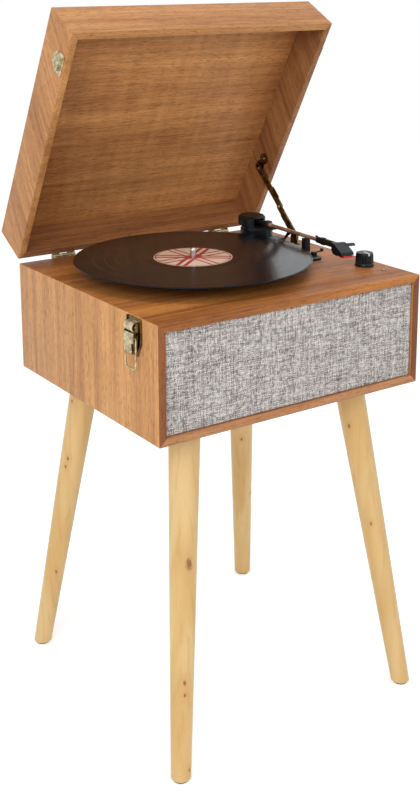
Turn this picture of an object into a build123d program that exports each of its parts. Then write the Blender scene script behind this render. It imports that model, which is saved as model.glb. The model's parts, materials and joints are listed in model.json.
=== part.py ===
import math
import os

from build123d import *

# Driving dimensions of the cabinet and its legs, in millimetres
cabinet_width = 386.0
cabinet_depth = 342.0
cabinet_height = 141.0
board = 9.5
leg_height = 415.5
bottom_z = leg_height
deck_z = leg_height + cabinet_height
half_width = cabinet_width / 2
half_depth = cabinet_depth / 2
inner_x = half_width - board
inner_low = bottom_z + board
inner_high = deck_z - board

# Splayed turned legs, each held under the floor of the cabinet by a plate
leg_top_x = 125.0
leg_top_y = 117.0
foot_x = 175.0
foot_y = 180.0
leg_top_radius = 19.0
foot_radius = 12.0
leg_plate_size = 62.0
leg_plate_thickness = 2.0
glide_radius = 9.5
glide_height = 2.5

# Front panel: a drilled board wrapped in cloth, set back a little in the box
cloth_recess = 3.0
cloth_thickness = 1.0
baffle_thickness = 12.0
speaker_x = 112.0
speaker_opening = 38.0
speaker_flange = 45.0
speaker_z = (bottom_z + deck_z) / 2

# Lid, drawn closed and then swung open about its hinge
lid_height = 57.6
lid_gap = 1.0
lid_open_angle = 60.83
hinge_out = 4.42
hinge_up = 0.8
hinge_x = 126.0
hinge_length = 34.0
hinge_barrel = 2.8
hinge_pin_radius = 1.2
hinge_leaf = 1.2
hinge_leaf_height = 23.0
running_gap = 0.05
hinge_y = half_depth + hinge_out
hinge_z = deck_z + hinge_up
rim_z = deck_z + lid_gap
lid_top_z = rim_z + lid_height

# Folding stay beside the deck, straight when the lid is open
stay_foot = (57.5, 8.5)
stay_head = (149.9, 96.0)
stay_lower_length = 53.0
stay_link_width = 9.0
stay_link_thickness = 1.5
stay_lower_x = 176.0
stay_upper_x = 178.0
stay_pin_radius = 1.8

# Toggle latch on each side of the cabinet, with its wire bail hanging
latch_y = -123.0
latch_half_width = 15.0
latch_sheet = 1.2
latch_top = 2.5
latch_length = 43.5
lever_pivot = (4.2, -11.0)
bail_pivot = (6.6, -23.0)
lever_half_width = 10.4
bail_half_width = 12.0
bail_wire = 0.9
bail_length = 36.5

# Turntable
record_x = -30.5
record_y = 5.5
record_radius = 151.0
record_thickness = 1.8
record_base = 17.0
label_radius = 50.0
mat_thickness = 1.5
mat_radius = 95.0
platter_radius = 98.0
platter_thickness = 3.0
platter_skirt = 2.5
platter_clear = 4.0
drum_radius = 62.0
drum_wall = 3.0
hub_radius = 12.0
spindle_radius = 3.55
spindle_height = 31.0
record_hole = 3.65
bearing_radius = 9.0
belt_thickness = 0.8
belt_width = 4.0
belt_low = 6.5
belt_clear = 0.3
pulley_radius = 4.96
pulley_distance = 82.0
pulley_angle = 135.0
motor_radius = 18.0
motor_height = 22.0

# Tonearm
arm_x = 134.5
arm_y = 93.0
arm_axis = 30.0
arm_park_angle = -2.2
tube_radius = 2.5
tube_bore = 1.9
tube_end = 146.0
neck_end = 183.0
head_angle = -14.0
head_width = 17.0
head_wall = 1.6
turret_base_radius = 22.5
turret_base_top = 21.0
turret_disc_radius = 21.0
turret_pin_radius = 4.0
cap_length = 40.0
cap_width = 36.0
cap_offset = 12.0
cap_top = 37.0
trunnion_radius = 1.5
stylus_reach = 18.0
stylus_lift = 0.3
rest_distance = 115.0
platform_radius = 41.0
cue_pivot = (147.0, 48.0, 8.5)

# Knob, lamp and speed lever on the deck
knob_x = 166.5
knob_y = -97.0
knob_radius = 11.2
knob_foot_radius = 12.6
knob_height = 18.0
knob_grooves = 24
knob_groove_depth = 0.6
bushing_radius = 4.2
lamp_x = 170.0
lamp_y = -130.0
speed_x = 143.0
speed_y = -23.0

# Sockets in the back panel
jack_x = 110.0
jack_z = bottom_z + 70.0
rca_radius = 4.15
rca_length = 9.0
aux_radius = 1.8
aux_depth = 14.0
inlet_radius = 3.2

nodes = {}


def block(x0, x1, y0, y1, z0, z1):
    """Box between two corners."""
    centre = Pos((x0 + x1) / 2, (y0 + y1) / 2, (z0 + z1) / 2)
    return centre * Box(x1 - x0, y1 - y0, z1 - z0)


def rod(start, end, radius):
    """Round bar from one point to another."""
    line = Vector(*end) - Vector(*start)
    plane = Plane(origin=start, z_dir=line)
    return extrude(plane * Circle(radius), line.length)


def upright(x, y, z0, z1, radius):
    """Round bar standing on its end."""
    return rod((x, y, z0), (x, y, z1), radius)


def prism(points, direction, length):
    """Closed outline in space, pushed along a direction."""
    face = make_face(Polyline(points, close=True))
    return extrude(face, amount=length, dir=direction)


def along_x(profile, x0, x1):
    """Outline of (y, z) points carried from x0 to x1."""
    return prism([(x0, y, z) for y, z in profile], (1, 0, 0), x1 - x0)


def along_y(profile, y0, y1):
    """Outline of (x, z) points carried from y0 to y1."""
    return prism([(x, y0, z) for x, z in profile], (0, 1, 0), y1 - y0)


def along_z(profile, z0, z1):
    """Outline of (x, y) points carried from z0 to z1."""
    return prism([(x, y, z0) for x, y in profile], (0, 0, 1), z1 - z0)


def mirrored(piece):
    """The piece's twin on the other side of the cabinet."""
    return piece.mirror(Plane.YZ)


def group(pieces):
    """Separate solids kept in one node."""
    return Compound(children=list(pieces))


def opened(piece):
    """Swing a piece of the closed lid to the open position."""
    axis = Axis((0, hinge_y, hinge_z), (1, 0, 0))
    return piece.rotate(axis, -lid_open_angle)


def cabinet_boards():
    """Box of mitred boards, open at the front and back."""
    w, h, b = half_width, half_depth, board
    deck = along_y([(-w, deck_z), (w, deck_z), (w - b, inner_high), (b - w, inner_high)], -h, h)
    floor = along_y([(-w, bottom_z), (w, bottom_z), (w - b, inner_low), (b - w, inner_low)], -h, h)
    side = along_y([(-w, bottom_z), (-w, deck_z), (b - w, inner_high), (b - w, inner_low)], -h, h)
    pulley_x, pulley_y = pulley_place()
    deck -= upright(record_x, record_y, inner_high - 1, deck_z + 1, bearing_radius)
    deck -= upright(pulley_x, pulley_y, inner_high - 1, deck_z + 1, 7.0)
    deck -= upright(knob_x, knob_y, inner_high - 1, deck_z + 1, bushing_radius + 0.1)
    deck -= upright(lamp_x, lamp_y, inner_high - 1, deck_z + 1, 1.6)
    nodes["deck_panel"] = deck
    nodes["bottom_panel"] = floor
    nodes["side_panel_left"] = side
    nodes["side_panel_right"] = mirrored(side)


def back_panel():
    """Inset back board with a window behind the socket plate and a row of vents."""
    panel = block(-inner_x, inner_x, half_depth - board, half_depth, inner_low, inner_high)
    panel -= block(jack_x - 34, jack_x + 34, 150, half_depth + 1, jack_z - 14, jack_z + 14)
    for index in range(9):
        x = -110 + index * 11
        slot = block(x - 2, x + 2, 150, half_depth + 1, jack_z - 16, jack_z + 16)
        panel -= slot
    nodes["back_panel"] = panel


def front_panel():
    """Speaker board, its cloth cover and the two loudspeakers behind it."""
    front = -half_depth + cloth_recess
    board_y = front + cloth_thickness
    back = board_y + baffle_thickness
    edge = inner_x - cloth_thickness
    low = inner_low + cloth_thickness
    high = inner_high - cloth_thickness
    baffle = block(-edge, edge, board_y, back, low, high)
    cover = block(-inner_x, inner_x, front, back, inner_low, inner_high)
    cover -= block(-edge, edge, board_y, back + 1, low, high)
    drivers = []
    cones = []
    for side in (-1, 1):
        x = side * speaker_x
        baffle -= rod((x, board_y - 1, speaker_z), (x, back + 1, speaker_z), speaker_opening)
        drivers.append(loudspeaker(x, back))
        cones.append(speaker_cone(x, back))
    nodes["speaker_baffle"] = baffle
    nodes["grille_cloth"] = cover
    nodes["speaker_drivers"] = group(drivers)
    nodes["speaker_cones"] = group(cones)


def turned(profile, x, y):
    """Revolve (radius, depth) points about a line along Y through the speaker's centre."""
    outline = [(x + radius, y + depth, speaker_z) for radius, depth in profile]
    face = make_face(Polyline(outline, close=True))
    return revolve(face, Axis((x, 0, speaker_z), (0, 1, 0)), 360)


def loudspeaker(x, back):
    """Pressed basket with four windows, and its magnet."""
    outer = [(speaker_opening, 0), (speaker_flange, 0), (speaker_flange, 2.5), (40, 2.5),
             (24, 26), (24, 40), (0, 40), (0, 28), (18, 28), (20, 24), (36, 2.5), (speaker_opening, 2.5)]
    basket = turned(outer, x, back)
    for turn in (0, 90):
        window = Pos(x, back + 13, speaker_z) * Rot(0, turn + 45, 0) * Box(100, 12, 18)
        basket -= window
    return basket


def speaker_cone(x, back):
    """Paper cone with a rolled surround and a domed cap."""
    outline = [(37.9, 1.3), (37.9, 2.5), (33.5, 2.3), (31, 1.2), (14, 15.8), (0, 12.8),
               (0, 11.8), (14, 14.4), (31, -0.2), (34, 1.0)]
    return turned(outline, x, back)


def legs():
    """Four tapered legs that lean outwards, cut level at top and foot."""
    plates = []
    screws = []
    glides = []
    top = bottom_z - leg_plate_thickness
    for name, side, end in (("front_left", -1, -1), ("front_right", 1, -1),
                            ("back_left", -1, 1), ("back_right", 1, 1)):
        head = Vector(side * leg_top_x, end * leg_top_y, bottom_z)
        foot = Vector(side * foot_x, end * foot_y, 0)
        line = head - foot
        start = foot - line * 0.05
        length = line.length * 1.1
        taper = (leg_top_radius - foot_radius) / line.length
        low_radius = foot_radius - taper * line.length * 0.05
        high_radius = low_radius + taper * length
        cone = Cone(low_radius, high_radius, length, align=(Align.CENTER, Align.CENTER, Align.MIN))
        leg = Plane(origin=start, z_dir=line) * cone
        slab = block(-300, 300, -300, 300, glide_height, top)
        nodes["leg_" + name] = leg & slab
        half = leg_plate_size / 2
        plates.append(block(head.X - half, head.X + half, head.Y - half, head.Y + half, top, bottom_z))
        for dx in (-1, 1):
            for dy in (-1, 1):
                screws.append(pan_head((head.X + dx * (half - 5), head.Y + dy * (half - 5), top), (0, 0, -1)))
        centre = foot + line * (glide_height / 2 / bottom_z)
        glides.append(upright(centre.X, centre.Y, 0, glide_height, glide_radius))
    nodes["leg_plates"] = group(plates)
    nodes["leg_glides"] = group(glides)
    return screws


def pan_head(place, direction, radius=3.2, height=1.6):
    """Screw head with eight flats, narrower at its top, lying on a surface."""
    plane = Plane(origin=place, z_dir=direction)
    wide = plane * RegularPolygon(radius, 8)
    narrow = plane.offset(height) * RegularPolygon(radius * 0.6, 8)
    return loft([wide, narrow], ruled=True)


def lid():
    """Five mitred boards that make a shallow tray, drawn closed."""
    w, d, b = half_width, half_depth, board
    z0, z1 = rim_z, lid_top_z
    roof = along_y([(-w, z1), (w, z1), (w - b, z1 - b), (b - w, z1 - b)], -d, d)
    roof &= along_x([(-d, z1), (d, z1), (d - b, z1 - b), (b - d, z1 - b)], -w, w)
    front = along_x([(-d, z0), (b - d, z0), (b - d, z1 - b), (-d, z1)], -w, w)
    front &= along_z([(-w, -d), (w, -d), (w - b, b - d), (b - w, b - d)], z0, z1)
    left = along_y([(-w, z0), (b - w, z0), (b - w, z1 - b), (-w, z1)], -d, d)
    left &= along_z([(-w, -d), (-w, d), (b - w, d - b), (b - w, b - d)], z0, z1)
    nodes["lid_top"] = opened(roof)
    nodes["lid_front"] = opened(front)
    nodes["lid_back"] = opened(front.mirror(Plane.XZ))
    nodes["lid_left"] = opened(left)
    nodes["lid_right"] = opened(mirrored(left))


def hinges():
    """Two butt hinges on the back faces: one knuckle below, two above, and a pin."""
    third = hinge_length / 3
    lower = []
    upper = []
    pins = []
    screws = []
    y = half_depth
    for side in (-1, 1):
        x = side * hinge_x
        x0, x1 = x - hinge_length / 2, x + hinge_length / 2
        m0, m1 = x0 + third, x1 - third
        leaf = block(x0, x1, y, y + hinge_leaf, deck_z - hinge_leaf_height, deck_z - 0.8)
        tab_low = hinge_z - hinge_barrel
        leaf += block(m0, m1, y, hinge_y, tab_low, tab_low + hinge_leaf)
        leaf += rod((m0, hinge_y, hinge_z), (m1, hinge_y, hinge_z), hinge_barrel)
        leaf -= rod((m0 - 1, hinge_y, hinge_z), (m1 + 1, hinge_y, hinge_z), hinge_pin_radius + running_gap)
        lower.append(leaf)
        tab_high = hinge_z + hinge_barrel
        cover = block(x0, x1, y, y + hinge_leaf, tab_high - hinge_leaf, tab_high + hinge_leaf_height)
        for k0, k1 in ((x0, m0 - 0.3), (m1 + 0.3, x1)):
            knuckle = block(k0, k1, y, hinge_y, tab_high - hinge_leaf, tab_high)
            knuckle += rod((k0, hinge_y, hinge_z), (k1, hinge_y, hinge_z), hinge_barrel)
            cover += knuckle
        cover -= rod((x0 - 1, hinge_y, hinge_z), (x1 + 1, hinge_y, hinge_z), hinge_pin_radius)
        for dx in (-11, 11):
            face = y + hinge_leaf
            screws.append(pan_head((x + dx, face, deck_z - 14), (0, 1, 0)))
            cover += pan_head((x + dx, face, deck_z + 16), (0, 1, 0))
        upper.append(opened(cover))
        pins.append(rod((x0 - 0.8, hinge_y, hinge_z), (x1 + 0.8, hinge_y, hinge_z), hinge_pin_radius))
    nodes["hinge_leaves_cabinet"] = group(lower)
    nodes["hinge_leaves_lid"] = group(upper)
    nodes["hinge_pins"] = group(pins)
    return screws


def latch_side(profile, y0, y1):
    """Outline of (distance out, height) points on the left side, between two depths."""
    return along_y([(-half_width - d, deck_z + z) for d, z in profile], y0, y1)


def latch_rod(point, y0, y1, radius):
    """Round bar along Y at a (distance out, height) point on the left side."""
    x, z = -half_width - point[0], deck_z + point[1]
    return rod((x, y0, z), (x, y1, z), radius)


def latches():
    """Toggle latch: folded base, lever, hanging wire bail, and the catch on the lid."""
    y0, y1 = latch_y - latch_half_width, latch_y + latch_half_width
    low = -latch_top - latch_length
    plate = latch_side([(0, -latch_top), (latch_sheet, -latch_top), (latch_sheet, low), (0, low)], y0, y1)
    cheek = [(0, -latch_top), (7.5, -latch_top), (8.8, -6), (8.8, -25), (3.6, low + 1), (0, low)]
    base = plate + latch_side(cheek, y0, y0 + latch_sheet) + latch_side(cheek, y1 - latch_sheet, y1)
    base += latch_rod(lever_pivot, y0 - 0.6, y1 + 0.6, 1.3)
    a0, a1 = latch_y - lever_half_width, latch_y + lever_half_width
    tongue = [(5.6, -9.4), (7.2, -9.4), (7.8, -30), (10.4, -38), (9.2, -39), (6.2, -30.5)]
    lever = latch_side(tongue, a0, a1)
    ear = [(2.6, -9.4), (5.8, -9.4), (7.4, -30), (6, -30.5), (4.6, -27), (2.2, -13)]
    lever += latch_side(ear, a0, a0 + latch_sheet) + latch_side(ear, a1 - latch_sheet, a1)
    lever += latch_rod(lever_pivot, a0, a0 + latch_sheet, 2.4)
    lever += latch_rod(lever_pivot, a1 - latch_sheet, a1, 2.4)
    lever -= latch_rod(lever_pivot, y0, y1, 1.3 + running_gap)
    lever -= latch_rod(bail_pivot, y0, y1, bail_wire + running_gap)
    bail = wire_bail()
    catch = catch_plate()
    nodes["latch_bases"] = group([base, mirrored(base)])
    nodes["latch_lever_left"] = lever
    nodes["latch_lever_right"] = mirrored(lever)
    nodes["latch_bail_left"] = bail
    nodes["latch_bail_right"] = mirrored(bail)
    nodes["catch_plates"] = group([opened(catch), opened(mirrored(catch))])


def wire_bail():
    """Bent wire: two ends turned into the lever, two legs and a rounded foot."""
    x, z = -half_width - bail_pivot[0], deck_z + bail_pivot[1]
    inner = lever_half_width - 2.6
    points = [(x, latch_y - inner, z), (x, latch_y - bail_half_width, z),
              (x, latch_y - bail_half_width, z - bail_length), (x, latch_y + bail_half_width, z - bail_length),
              (x, latch_y + bail_half_width, z), (x, latch_y + inner, z)]
    path = FilletPolyline(*points, radius=1.4)
    return sweep(Plane(origin=points[0], z_dir=(0, -1, 0)) * RegularPolygon(bail_wire, 8), path=path)


def catch_plate():
    """Plate on the lid's side with a lip for the bail."""
    y0, y1 = latch_y - 14, latch_y + 14
    low, high = lid_gap + 2, lid_gap + 27
    plate = latch_side([(0, low), (latch_sheet, low), (latch_sheet, high), (0, high)], y0, y1)
    plate = chamfer(plate.edges().filter_by(Axis.X).group_by(Axis.Z)[-1], 8)
    lip = [(0, 7), (6, 7), (6, 14), (4.8, 13), (4.8, 8.2), (0, 8.2)]
    plate += latch_side(lip, latch_y - 7, latch_y + 7)
    for dy in (-8, 8):
        plate += pan_head((-half_width - latch_sheet, latch_y + dy, deck_z + 18), (-1, 0, 0), 2.6, 1.2)
    return plate


def stay_link(start, end, x, thickness):
    """Flat bar with round ends and an eye at each, given by (y, z) points above the deck."""
    length = math.dist(start, end)
    angle = math.degrees(math.atan2(end[1] - start[1], end[0] - start[0]))
    face = SlotCenterToCenter(length, stay_link_width)
    middle = ((start[0] + end[0]) / 2, (start[1] + end[1]) / 2)
    plane = Plane(origin=(x, middle[0], deck_z + middle[1]), x_dir=(0, 1, 0), z_dir=(1, 0, 0))
    return extrude(plane * Rot(0, 0, angle) * face, thickness)


def stay():
    """Two flat links that lie in line when the lid is open, and their brackets."""
    reach = math.dist(stay_foot, stay_head)
    share = stay_lower_length / reach
    knee = tuple(a + (b - a) * share for a, b in zip(stay_foot, stay_head))
    foot_y, foot_z = stay_foot
    head_y, head_z = stay_head
    thick = stay_link_thickness
    lower = stay_link(stay_foot, knee, stay_lower_x, thick)
    upper = stay_link(knee, stay_head, stay_upper_x, thick)
    foot_point = (foot_y, deck_z + foot_z)
    head_point = (head_y, deck_z + head_z)
    lower -= rod((stay_lower_x - 1, *foot_point), (stay_lower_x + 3, *foot_point), stay_pin_radius + running_gap)
    upper -= rod((stay_upper_x - 1, *head_point), (stay_upper_x + 3, *head_point), stay_pin_radius + running_gap)
    knee_point = (knee[0], deck_z + knee[1])
    lower += rod((stay_lower_x - 1.2, *knee_point), (stay_lower_x, *knee_point), 2.6)
    upper += rod((stay_upper_x + thick, *knee_point), (stay_upper_x + thick + 1.2, *knee_point), 2.6)
    ear_x = stay_lower_x - 2.0
    ear = block(ear_x - thick, ear_x, foot_y - 7, foot_y + 7, deck_z, deck_z + foot_z)
    ear += rod((ear_x - thick, *foot_point), (ear_x, *foot_point), 7)
    ear -= block(ear_x - 10, ear_x + 10, foot_y - 20, foot_y + 20, deck_z - 20, deck_z)
    ear += block(ear_x - 14, ear_x, foot_y - 11, foot_y + 11, deck_z, deck_z + thick)
    ear += rod((ear_x, *foot_point), (stay_lower_x + thick, *foot_point), stay_pin_radius)
    ear += rod((ear_x, *foot_point), (stay_lower_x - 0.2, *foot_point), 3.4)
    for dy in (-6, 6):
        ear += pan_head((ear_x - 8, foot_y + dy, deck_z + thick), (0, 0, 1), 2.6, 1.2)
    nodes["stay_foot_bracket"] = ear
    wall = inner_x
    plate = rod((wall - thick, *head_point), (wall, *head_point), 8)
    screw_y, screw_z = head_y - 14 * math.cos(math.radians(52)), deck_z + head_z + 14 * math.sin(math.radians(52))
    plate += rod((wall - thick, screw_y, screw_z), (wall, screw_y, screw_z), 8)
    plate += pan_head((wall - thick, screw_y, screw_z), (-1, 0, 0), 3.0, 1.4)
    plate += rod((stay_upper_x, *head_point), (wall, *head_point), stay_pin_radius)
    plate += rod((stay_upper_x + thick + 0.2, *head_point), (wall, *head_point), 3.4)
    nodes["stay_lid_bracket"] = plate
    nodes["stay_lower_link"] = lower
    nodes["stay_upper_link"] = upper


def pulley_place():
    """Centre of the motor pulley, beside the drum under the platter."""
    angle = math.radians(pulley_angle)
    return record_x + pulley_distance * math.cos(angle), record_y + pulley_distance * math.sin(angle)


def ring(x, y, z0, z1, outer, inner):
    """Round tube standing on its end."""
    return upright(x, y, z0, z1, outer) - upright(x, y, z0 - 1, z1 + 1, inner)


def turntable():
    """Record, mat, platter with its belt drum, spindle, bearing, belt, pulley and motor."""
    x, y, z = record_x, record_y, deck_z
    top = z + record_base - mat_thickness
    platter = upright(x, y, top - platter_thickness, top, platter_radius)
    platter += ring(x, y, z + platter_clear, top, platter_radius, platter_radius - platter_skirt)
    platter += ring(x, y, z + belt_low - 1, top, drum_radius, drum_radius - drum_wall)
    platter += upright(x, y, z + platter_clear, top, hub_radius)
    platter -= upright(x, y, z, top + 1, spindle_radius)
    nodes["platter"] = platter
    nodes["slip_mat"] = ring(x, y, top, top + mat_thickness, mat_radius, spindle_radius)
    record_low = z + record_base
    record_top = record_low + record_thickness
    disc = ring(x, y, record_low, record_top, record_radius, record_hole)
    disc = chamfer(disc.edges().filter_by(GeomType.CIRCLE).sort_by(SortBy.RADIUS)[-2:], 0.5)
    label_depth = 0.3
    disc -= upright(x, y, record_top - label_depth, record_top + 1, label_radius)
    nodes["record"] = disc
    nodes["record_label"] = ring(x, y, record_top - label_depth, record_top, label_radius, record_hole)
    spindle = upright(x, y, z - 11, z + spindle_height, spindle_radius)
    spindle = fillet(spindle.edges().group_by(Axis.Z)[-1], 2.4)
    spindle -= ring(x, y, record_top, record_top + 0.5, spindle_radius + 1, spindle_radius - 0.3)
    nodes["spindle"] = spindle
    bearing = upright(x, y, z - board - 4, z, bearing_radius) + upright(x, y, z, z + 2, 14)
    bearing -= upright(x, y, z - board - 2.5, z + 3, spindle_radius + running_gap)
    nodes["platter_bearing"] = bearing
    drive(x, y, z)


def drive(x, y, z):
    """Flat belt round the drum and the motor pulley, and the motor under the deck."""
    px, py = pulley_place()
    low = z + belt_low
    loops = []
    for grow in (belt_clear + belt_thickness, belt_clear):
        drum = Pos(x, y, low) * Circle(drum_radius + grow)
        wheel = Pos(px, py, low) * Circle(pulley_radius + grow)
        loops.append(extrude(make_hull(drum.edges() + wheel.edges()), belt_width, dir=(0, 0, 1)))
    nodes["drive_belt"] = loops[0] - loops[1]
    pulley = upright(px, py, low - 0.2, low + belt_width + 0.2, pulley_radius)
    pulley += upright(px, py, low - 1.2, low - 0.2, pulley_radius + 1.4)
    pulley += upright(px, py, low + belt_width + 0.2, low + belt_width + 0.8, pulley_radius + 1.4)
    pulley += upright(px, py, z - board - 8, low, 1.0)
    nodes["motor_pulley"] = pulley
    roof = z - board
    motor = upright(px, py, roof - 3 - motor_height, roof - 3, motor_radius)
    motor += upright(px, py, roof - 3, roof - 0.5, 5)
    for angle in (0, 120, 240):
        ex = px + 24 * math.cos(math.radians(angle))
        ey = py + 24 * math.sin(math.radians(angle))
        motor += upright(ex, ey, roof - 5, roof, 4.5)
        motor += along_z(tab_outline(px, py, ex, ey, 4.5), roof - 5, roof - 3.5)
    motor -= upright(px, py, roof - 20, roof + 1, 1.0 + running_gap)
    nodes["drive_motor"] = motor


def tab_outline(x0, y0, x1, y1, half):
    """Four corners of a straight strap between two points."""
    length = math.hypot(x1 - x0, y1 - y0)
    nx, ny = -(y1 - y0) / length * half, (x1 - x0) / length * half
    return [(x0 + nx, y0 + ny), (x1 + nx, y1 + ny), (x1 - nx, y1 - ny), (x0 - nx, y0 - ny)]


def parked(piece):
    """Turn a piece drawn along -Y from the arm's pivot to the parked direction."""
    return piece.rotate(Axis((0, 0, 0), (0, 0, 1)), arm_park_angle).translate((arm_x, arm_y, deck_z))


def tonearm_base():
    """Moulded base: turret foot, deck strip, lift housing, rest with its clip ear."""
    pad = Pos(0, -60, 0) * extrude(fillet(Rectangle(30, 150).vertices(), 8), 3)
    foot = pad + upright(0, 0, 0, 3, turret_base_radius + 1.5)
    foot += upright(0, 0, 3, turret_base_top, turret_base_radius)
    foot -= upright(0, 0, 4.5, turret_base_top + 1, turret_pin_radius + running_gap)
    housing = block(-14, 9, -56, -36, 3, 15)
    housing = fillet(housing.edges().filter_by(Axis.Z), 3)
    foot += housing
    mid = math.radians(platform_middle())
    px, py = platform_radius * math.sin(mid), -platform_radius * math.cos(mid)
    foot -= upright(px, py, 4, 16, 2.5 + running_gap)
    foot += block(9, 11.6, -49, -41, 3, 12.5)
    tube_low = arm_axis - tube_radius
    post = block(-3.8, 4.1, -rest_distance - 4, -rest_distance + 4, 3, tube_low - 3.5)
    post += block(-3.8, -2.6, -rest_distance - 4, -rest_distance + 4, 3, tube_low - 0.3)
    post += block(-3.8, 4.1, -rest_distance - 4, -rest_distance + 4, tube_low - 4.5, tube_low - 0.6)
    post += block(2.9, 4.1, -rest_distance - 4, -rest_distance + 4, 3, arm_axis - 2)
    post += block(2.9, 8.6, -rest_distance + 2, -rest_distance + 4, arm_axis - 7, arm_axis)
    post += rod((6.6, -rest_distance + 2, arm_axis - 2), (6.6, -rest_distance - 3, arm_axis - 2), 0.9)
    foot += post
    base = parked(foot)
    base += upright(speed_x, speed_y, deck_z, deck_z + 5.5, 4.5)
    base -= upright(speed_x, speed_y, deck_z + 3.2, deck_z + 6, 2.0 + running_gap)
    nodes["tonearm_base"] = base


def platform_middle():
    """Angle of the lift platform's post, in degrees from the parked arm."""
    return -16.0


def cue_lift():
    """Curved platform that raises the arm, and the lever that works it."""
    start, sweep_angle = 5.0, -55.0
    top = arm_axis - tube_radius - 0.3
    outer, inner = platform_radius + 2.2, platform_radius - 2.2
    arc = upright(0, 0, top - 2, top, outer) - upright(0, 0, top - 3, top + 1, inner)
    a0, a1 = math.radians(start), math.radians(start + sweep_angle)
    wedge = [(0, 0)]
    for share in (0, 0.25, 0.5, 0.75, 1):
        angle = a0 + (a1 - a0) * share
        wedge.append((90 * math.sin(angle), -90 * math.cos(angle)))
    arc &= along_z(wedge, top - 3, top + 1)
    mid = math.radians(platform_middle())
    px, py = platform_radius * math.sin(mid), -platform_radius * math.cos(mid)
    arc += upright(px, py, 8, top - 1, 2.5)
    nodes["cue_platform"] = parked(arc)
    cx, cy, cz = cue_pivot
    cz += deck_z
    lever = rod((cx - 1.2, cy, cz), (cx + 1.2, cy, cz), 3.0)
    tip = (cx, cy - 14, cz + 14)
    lever += rod((cx, cy, cz), tip, 1.3)
    lever += rod((cx, cy - 11, cz + 11), (cx, cy - 16, cz + 16), 2.0)
    nodes["cue_lever"] = lever + rod((cx - 4.8, cy, cz), (cx, cy, cz), 1.2)
    nodes["tonearm_base"] -= rod((cx - 7, cy, cz), (cx, cy, cz), 1.2 + running_gap)


def arm_clip():
    """Hooked clip, flipped outwards off the arm tube."""
    x, z = 6.6, arm_axis - 2
    y0, y1 = -rest_distance - 2.4, -rest_distance + 1.6
    hook = rod((0, y0, arm_axis), (0, y1, arm_axis), 5.0) - rod((0, y0 - 1, arm_axis), (0, y1 + 1, arm_axis), 3.3)
    hook -= block(-10, 10, y0 - 1, y1 + 1, arm_axis - 10, arm_axis + 0.5)
    hook += along_y([(3.4, arm_axis + 0.5), (5.0, arm_axis + 1.5), (x + 1.4, z + 1), (x - 1, z - 1)], y0, y1)
    hook += rod((x, y0, z), (x, y1, z), 1.9)
    hook -= rod((x, y0 - 1, z), (x, y1 + 1, z), 0.9 + running_gap)
    flipped = hook.rotate(Axis((x, 0, z), (0, 1, 0)), 165)
    nodes["arm_clip"] = parked(flipped)


def arm_turret():
    """Turning disc and oval cover that carry the arm's trunnion."""
    disc = upright(0, 0, 5, turret_base_top + 0.4, turret_pin_radius)
    disc += upright(0, 0, turret_base_top + 0.4, turret_base_top + 3, turret_disc_radius)
    low = turret_base_top + 3
    straight = cap_length - cap_width
    oval = SlotCenterToCenter(straight, cap_width)
    cap = extrude(Pos(0, cap_offset, low) * Rot(0, 0, 90) * oval, cap_top - low)
    cap = chamfer(cap.edges().group_by(Axis.Z)[-1], 2.5)
    pocket = block(-8, 8, -20, 24, low, cap_top - 2.5)
    cap -= pocket
    disc += cap
    disc -= rod((-11, 0, arm_axis), (11, 0, arm_axis), trunnion_radius + running_gap)
    nodes["arm_turret"] = parked(disc)


def arm():
    """Arm tube with its pivot block, collar and neck."""
    block_low, block_high = arm_axis - 4, arm_axis + 3
    body = block(-6, 6, -6, 20, block_low, block_high)
    body += rod((-10, 0, arm_axis), (10, 0, arm_axis), trunnion_radius)
    body += rod((0, -5, arm_axis), (0, -27, arm_axis), 3.6)
    body += rod((0, -26, arm_axis), (0, -tube_end, arm_axis), tube_radius)
    body -= rod((0, -24, arm_axis), (0, -tube_end - 1, arm_axis), tube_bore)
    nodes["arm_tube"] = parked(body)


def headed(piece):
    """Turn a piece drawn along -Y from the neck's end by the head's offset angle."""
    return piece.rotate(Axis((0, 0, 0), (0, 0, 1)), head_angle).translate((0, -neck_end, 0))


def head():
    """Neck, sloping head shell with finger lift, cartridge and stylus."""
    neck = rod((0, -tube_end + 5, arm_axis), (0, -neck_end - 3, arm_axis), 4.2)
    neck += rod((0, -tube_end - 4, arm_axis), (0, -tube_end - 9, arm_axis), 5.0)
    neck -= rod((0, -tube_end + 6, arm_axis), (0, -tube_end, arm_axis), tube_radius)
    half = head_width / 2
    inner = half - head_wall
    side = [(2, 34.5), (-4, 35), (-28, 27.5), (-29.5, 24), (-29, 20.8), (-3, 20.8), (2, 25)]
    shell = along_x(side, -half, half)
    shell -= along_x([(-5, 32.6), (-27.4, 25.6), (-27.4, 10), (-5, 10)], -inner, inner)
    shell -= along_x([(-16, 24.2), (-32, 24.2), (-32, 10), (-16, 10)], -half - 1, half + 1)
    shell += along_x([(-7, 32.8), (-12, 31.4), (-12, 33), (-7, 34.4)], half - 1, half + 10)
    nodes["headshell"] = parked(neck + headed(shell))
    body = along_x([(-6, 32.1), (-26.4, 25.7), (-26.4, 22.2), (-6, 22.2)], -inner, inner)
    nodes["cartridge"] = parked(headed(body))
    tip = record_base + record_thickness + stylus_lift
    red = along_x([(-9, 22.2), (-26.4, 22.2), (-26.6, 24), (-31, 23.6), (-31.4, 21.6), (-22, 19.9), (-10, 20.8)], -6, 6)
    needle = Plane(origin=(0, -stylus_reach, 21.2), z_dir=(0, 0, -1)) * Cone(
        1.2, 0.3, 21.2 - tip, align=(Align.CENTER, Align.CENTER, Align.MIN))
    nodes["stylus"] = parked(headed(red + needle))


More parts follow.
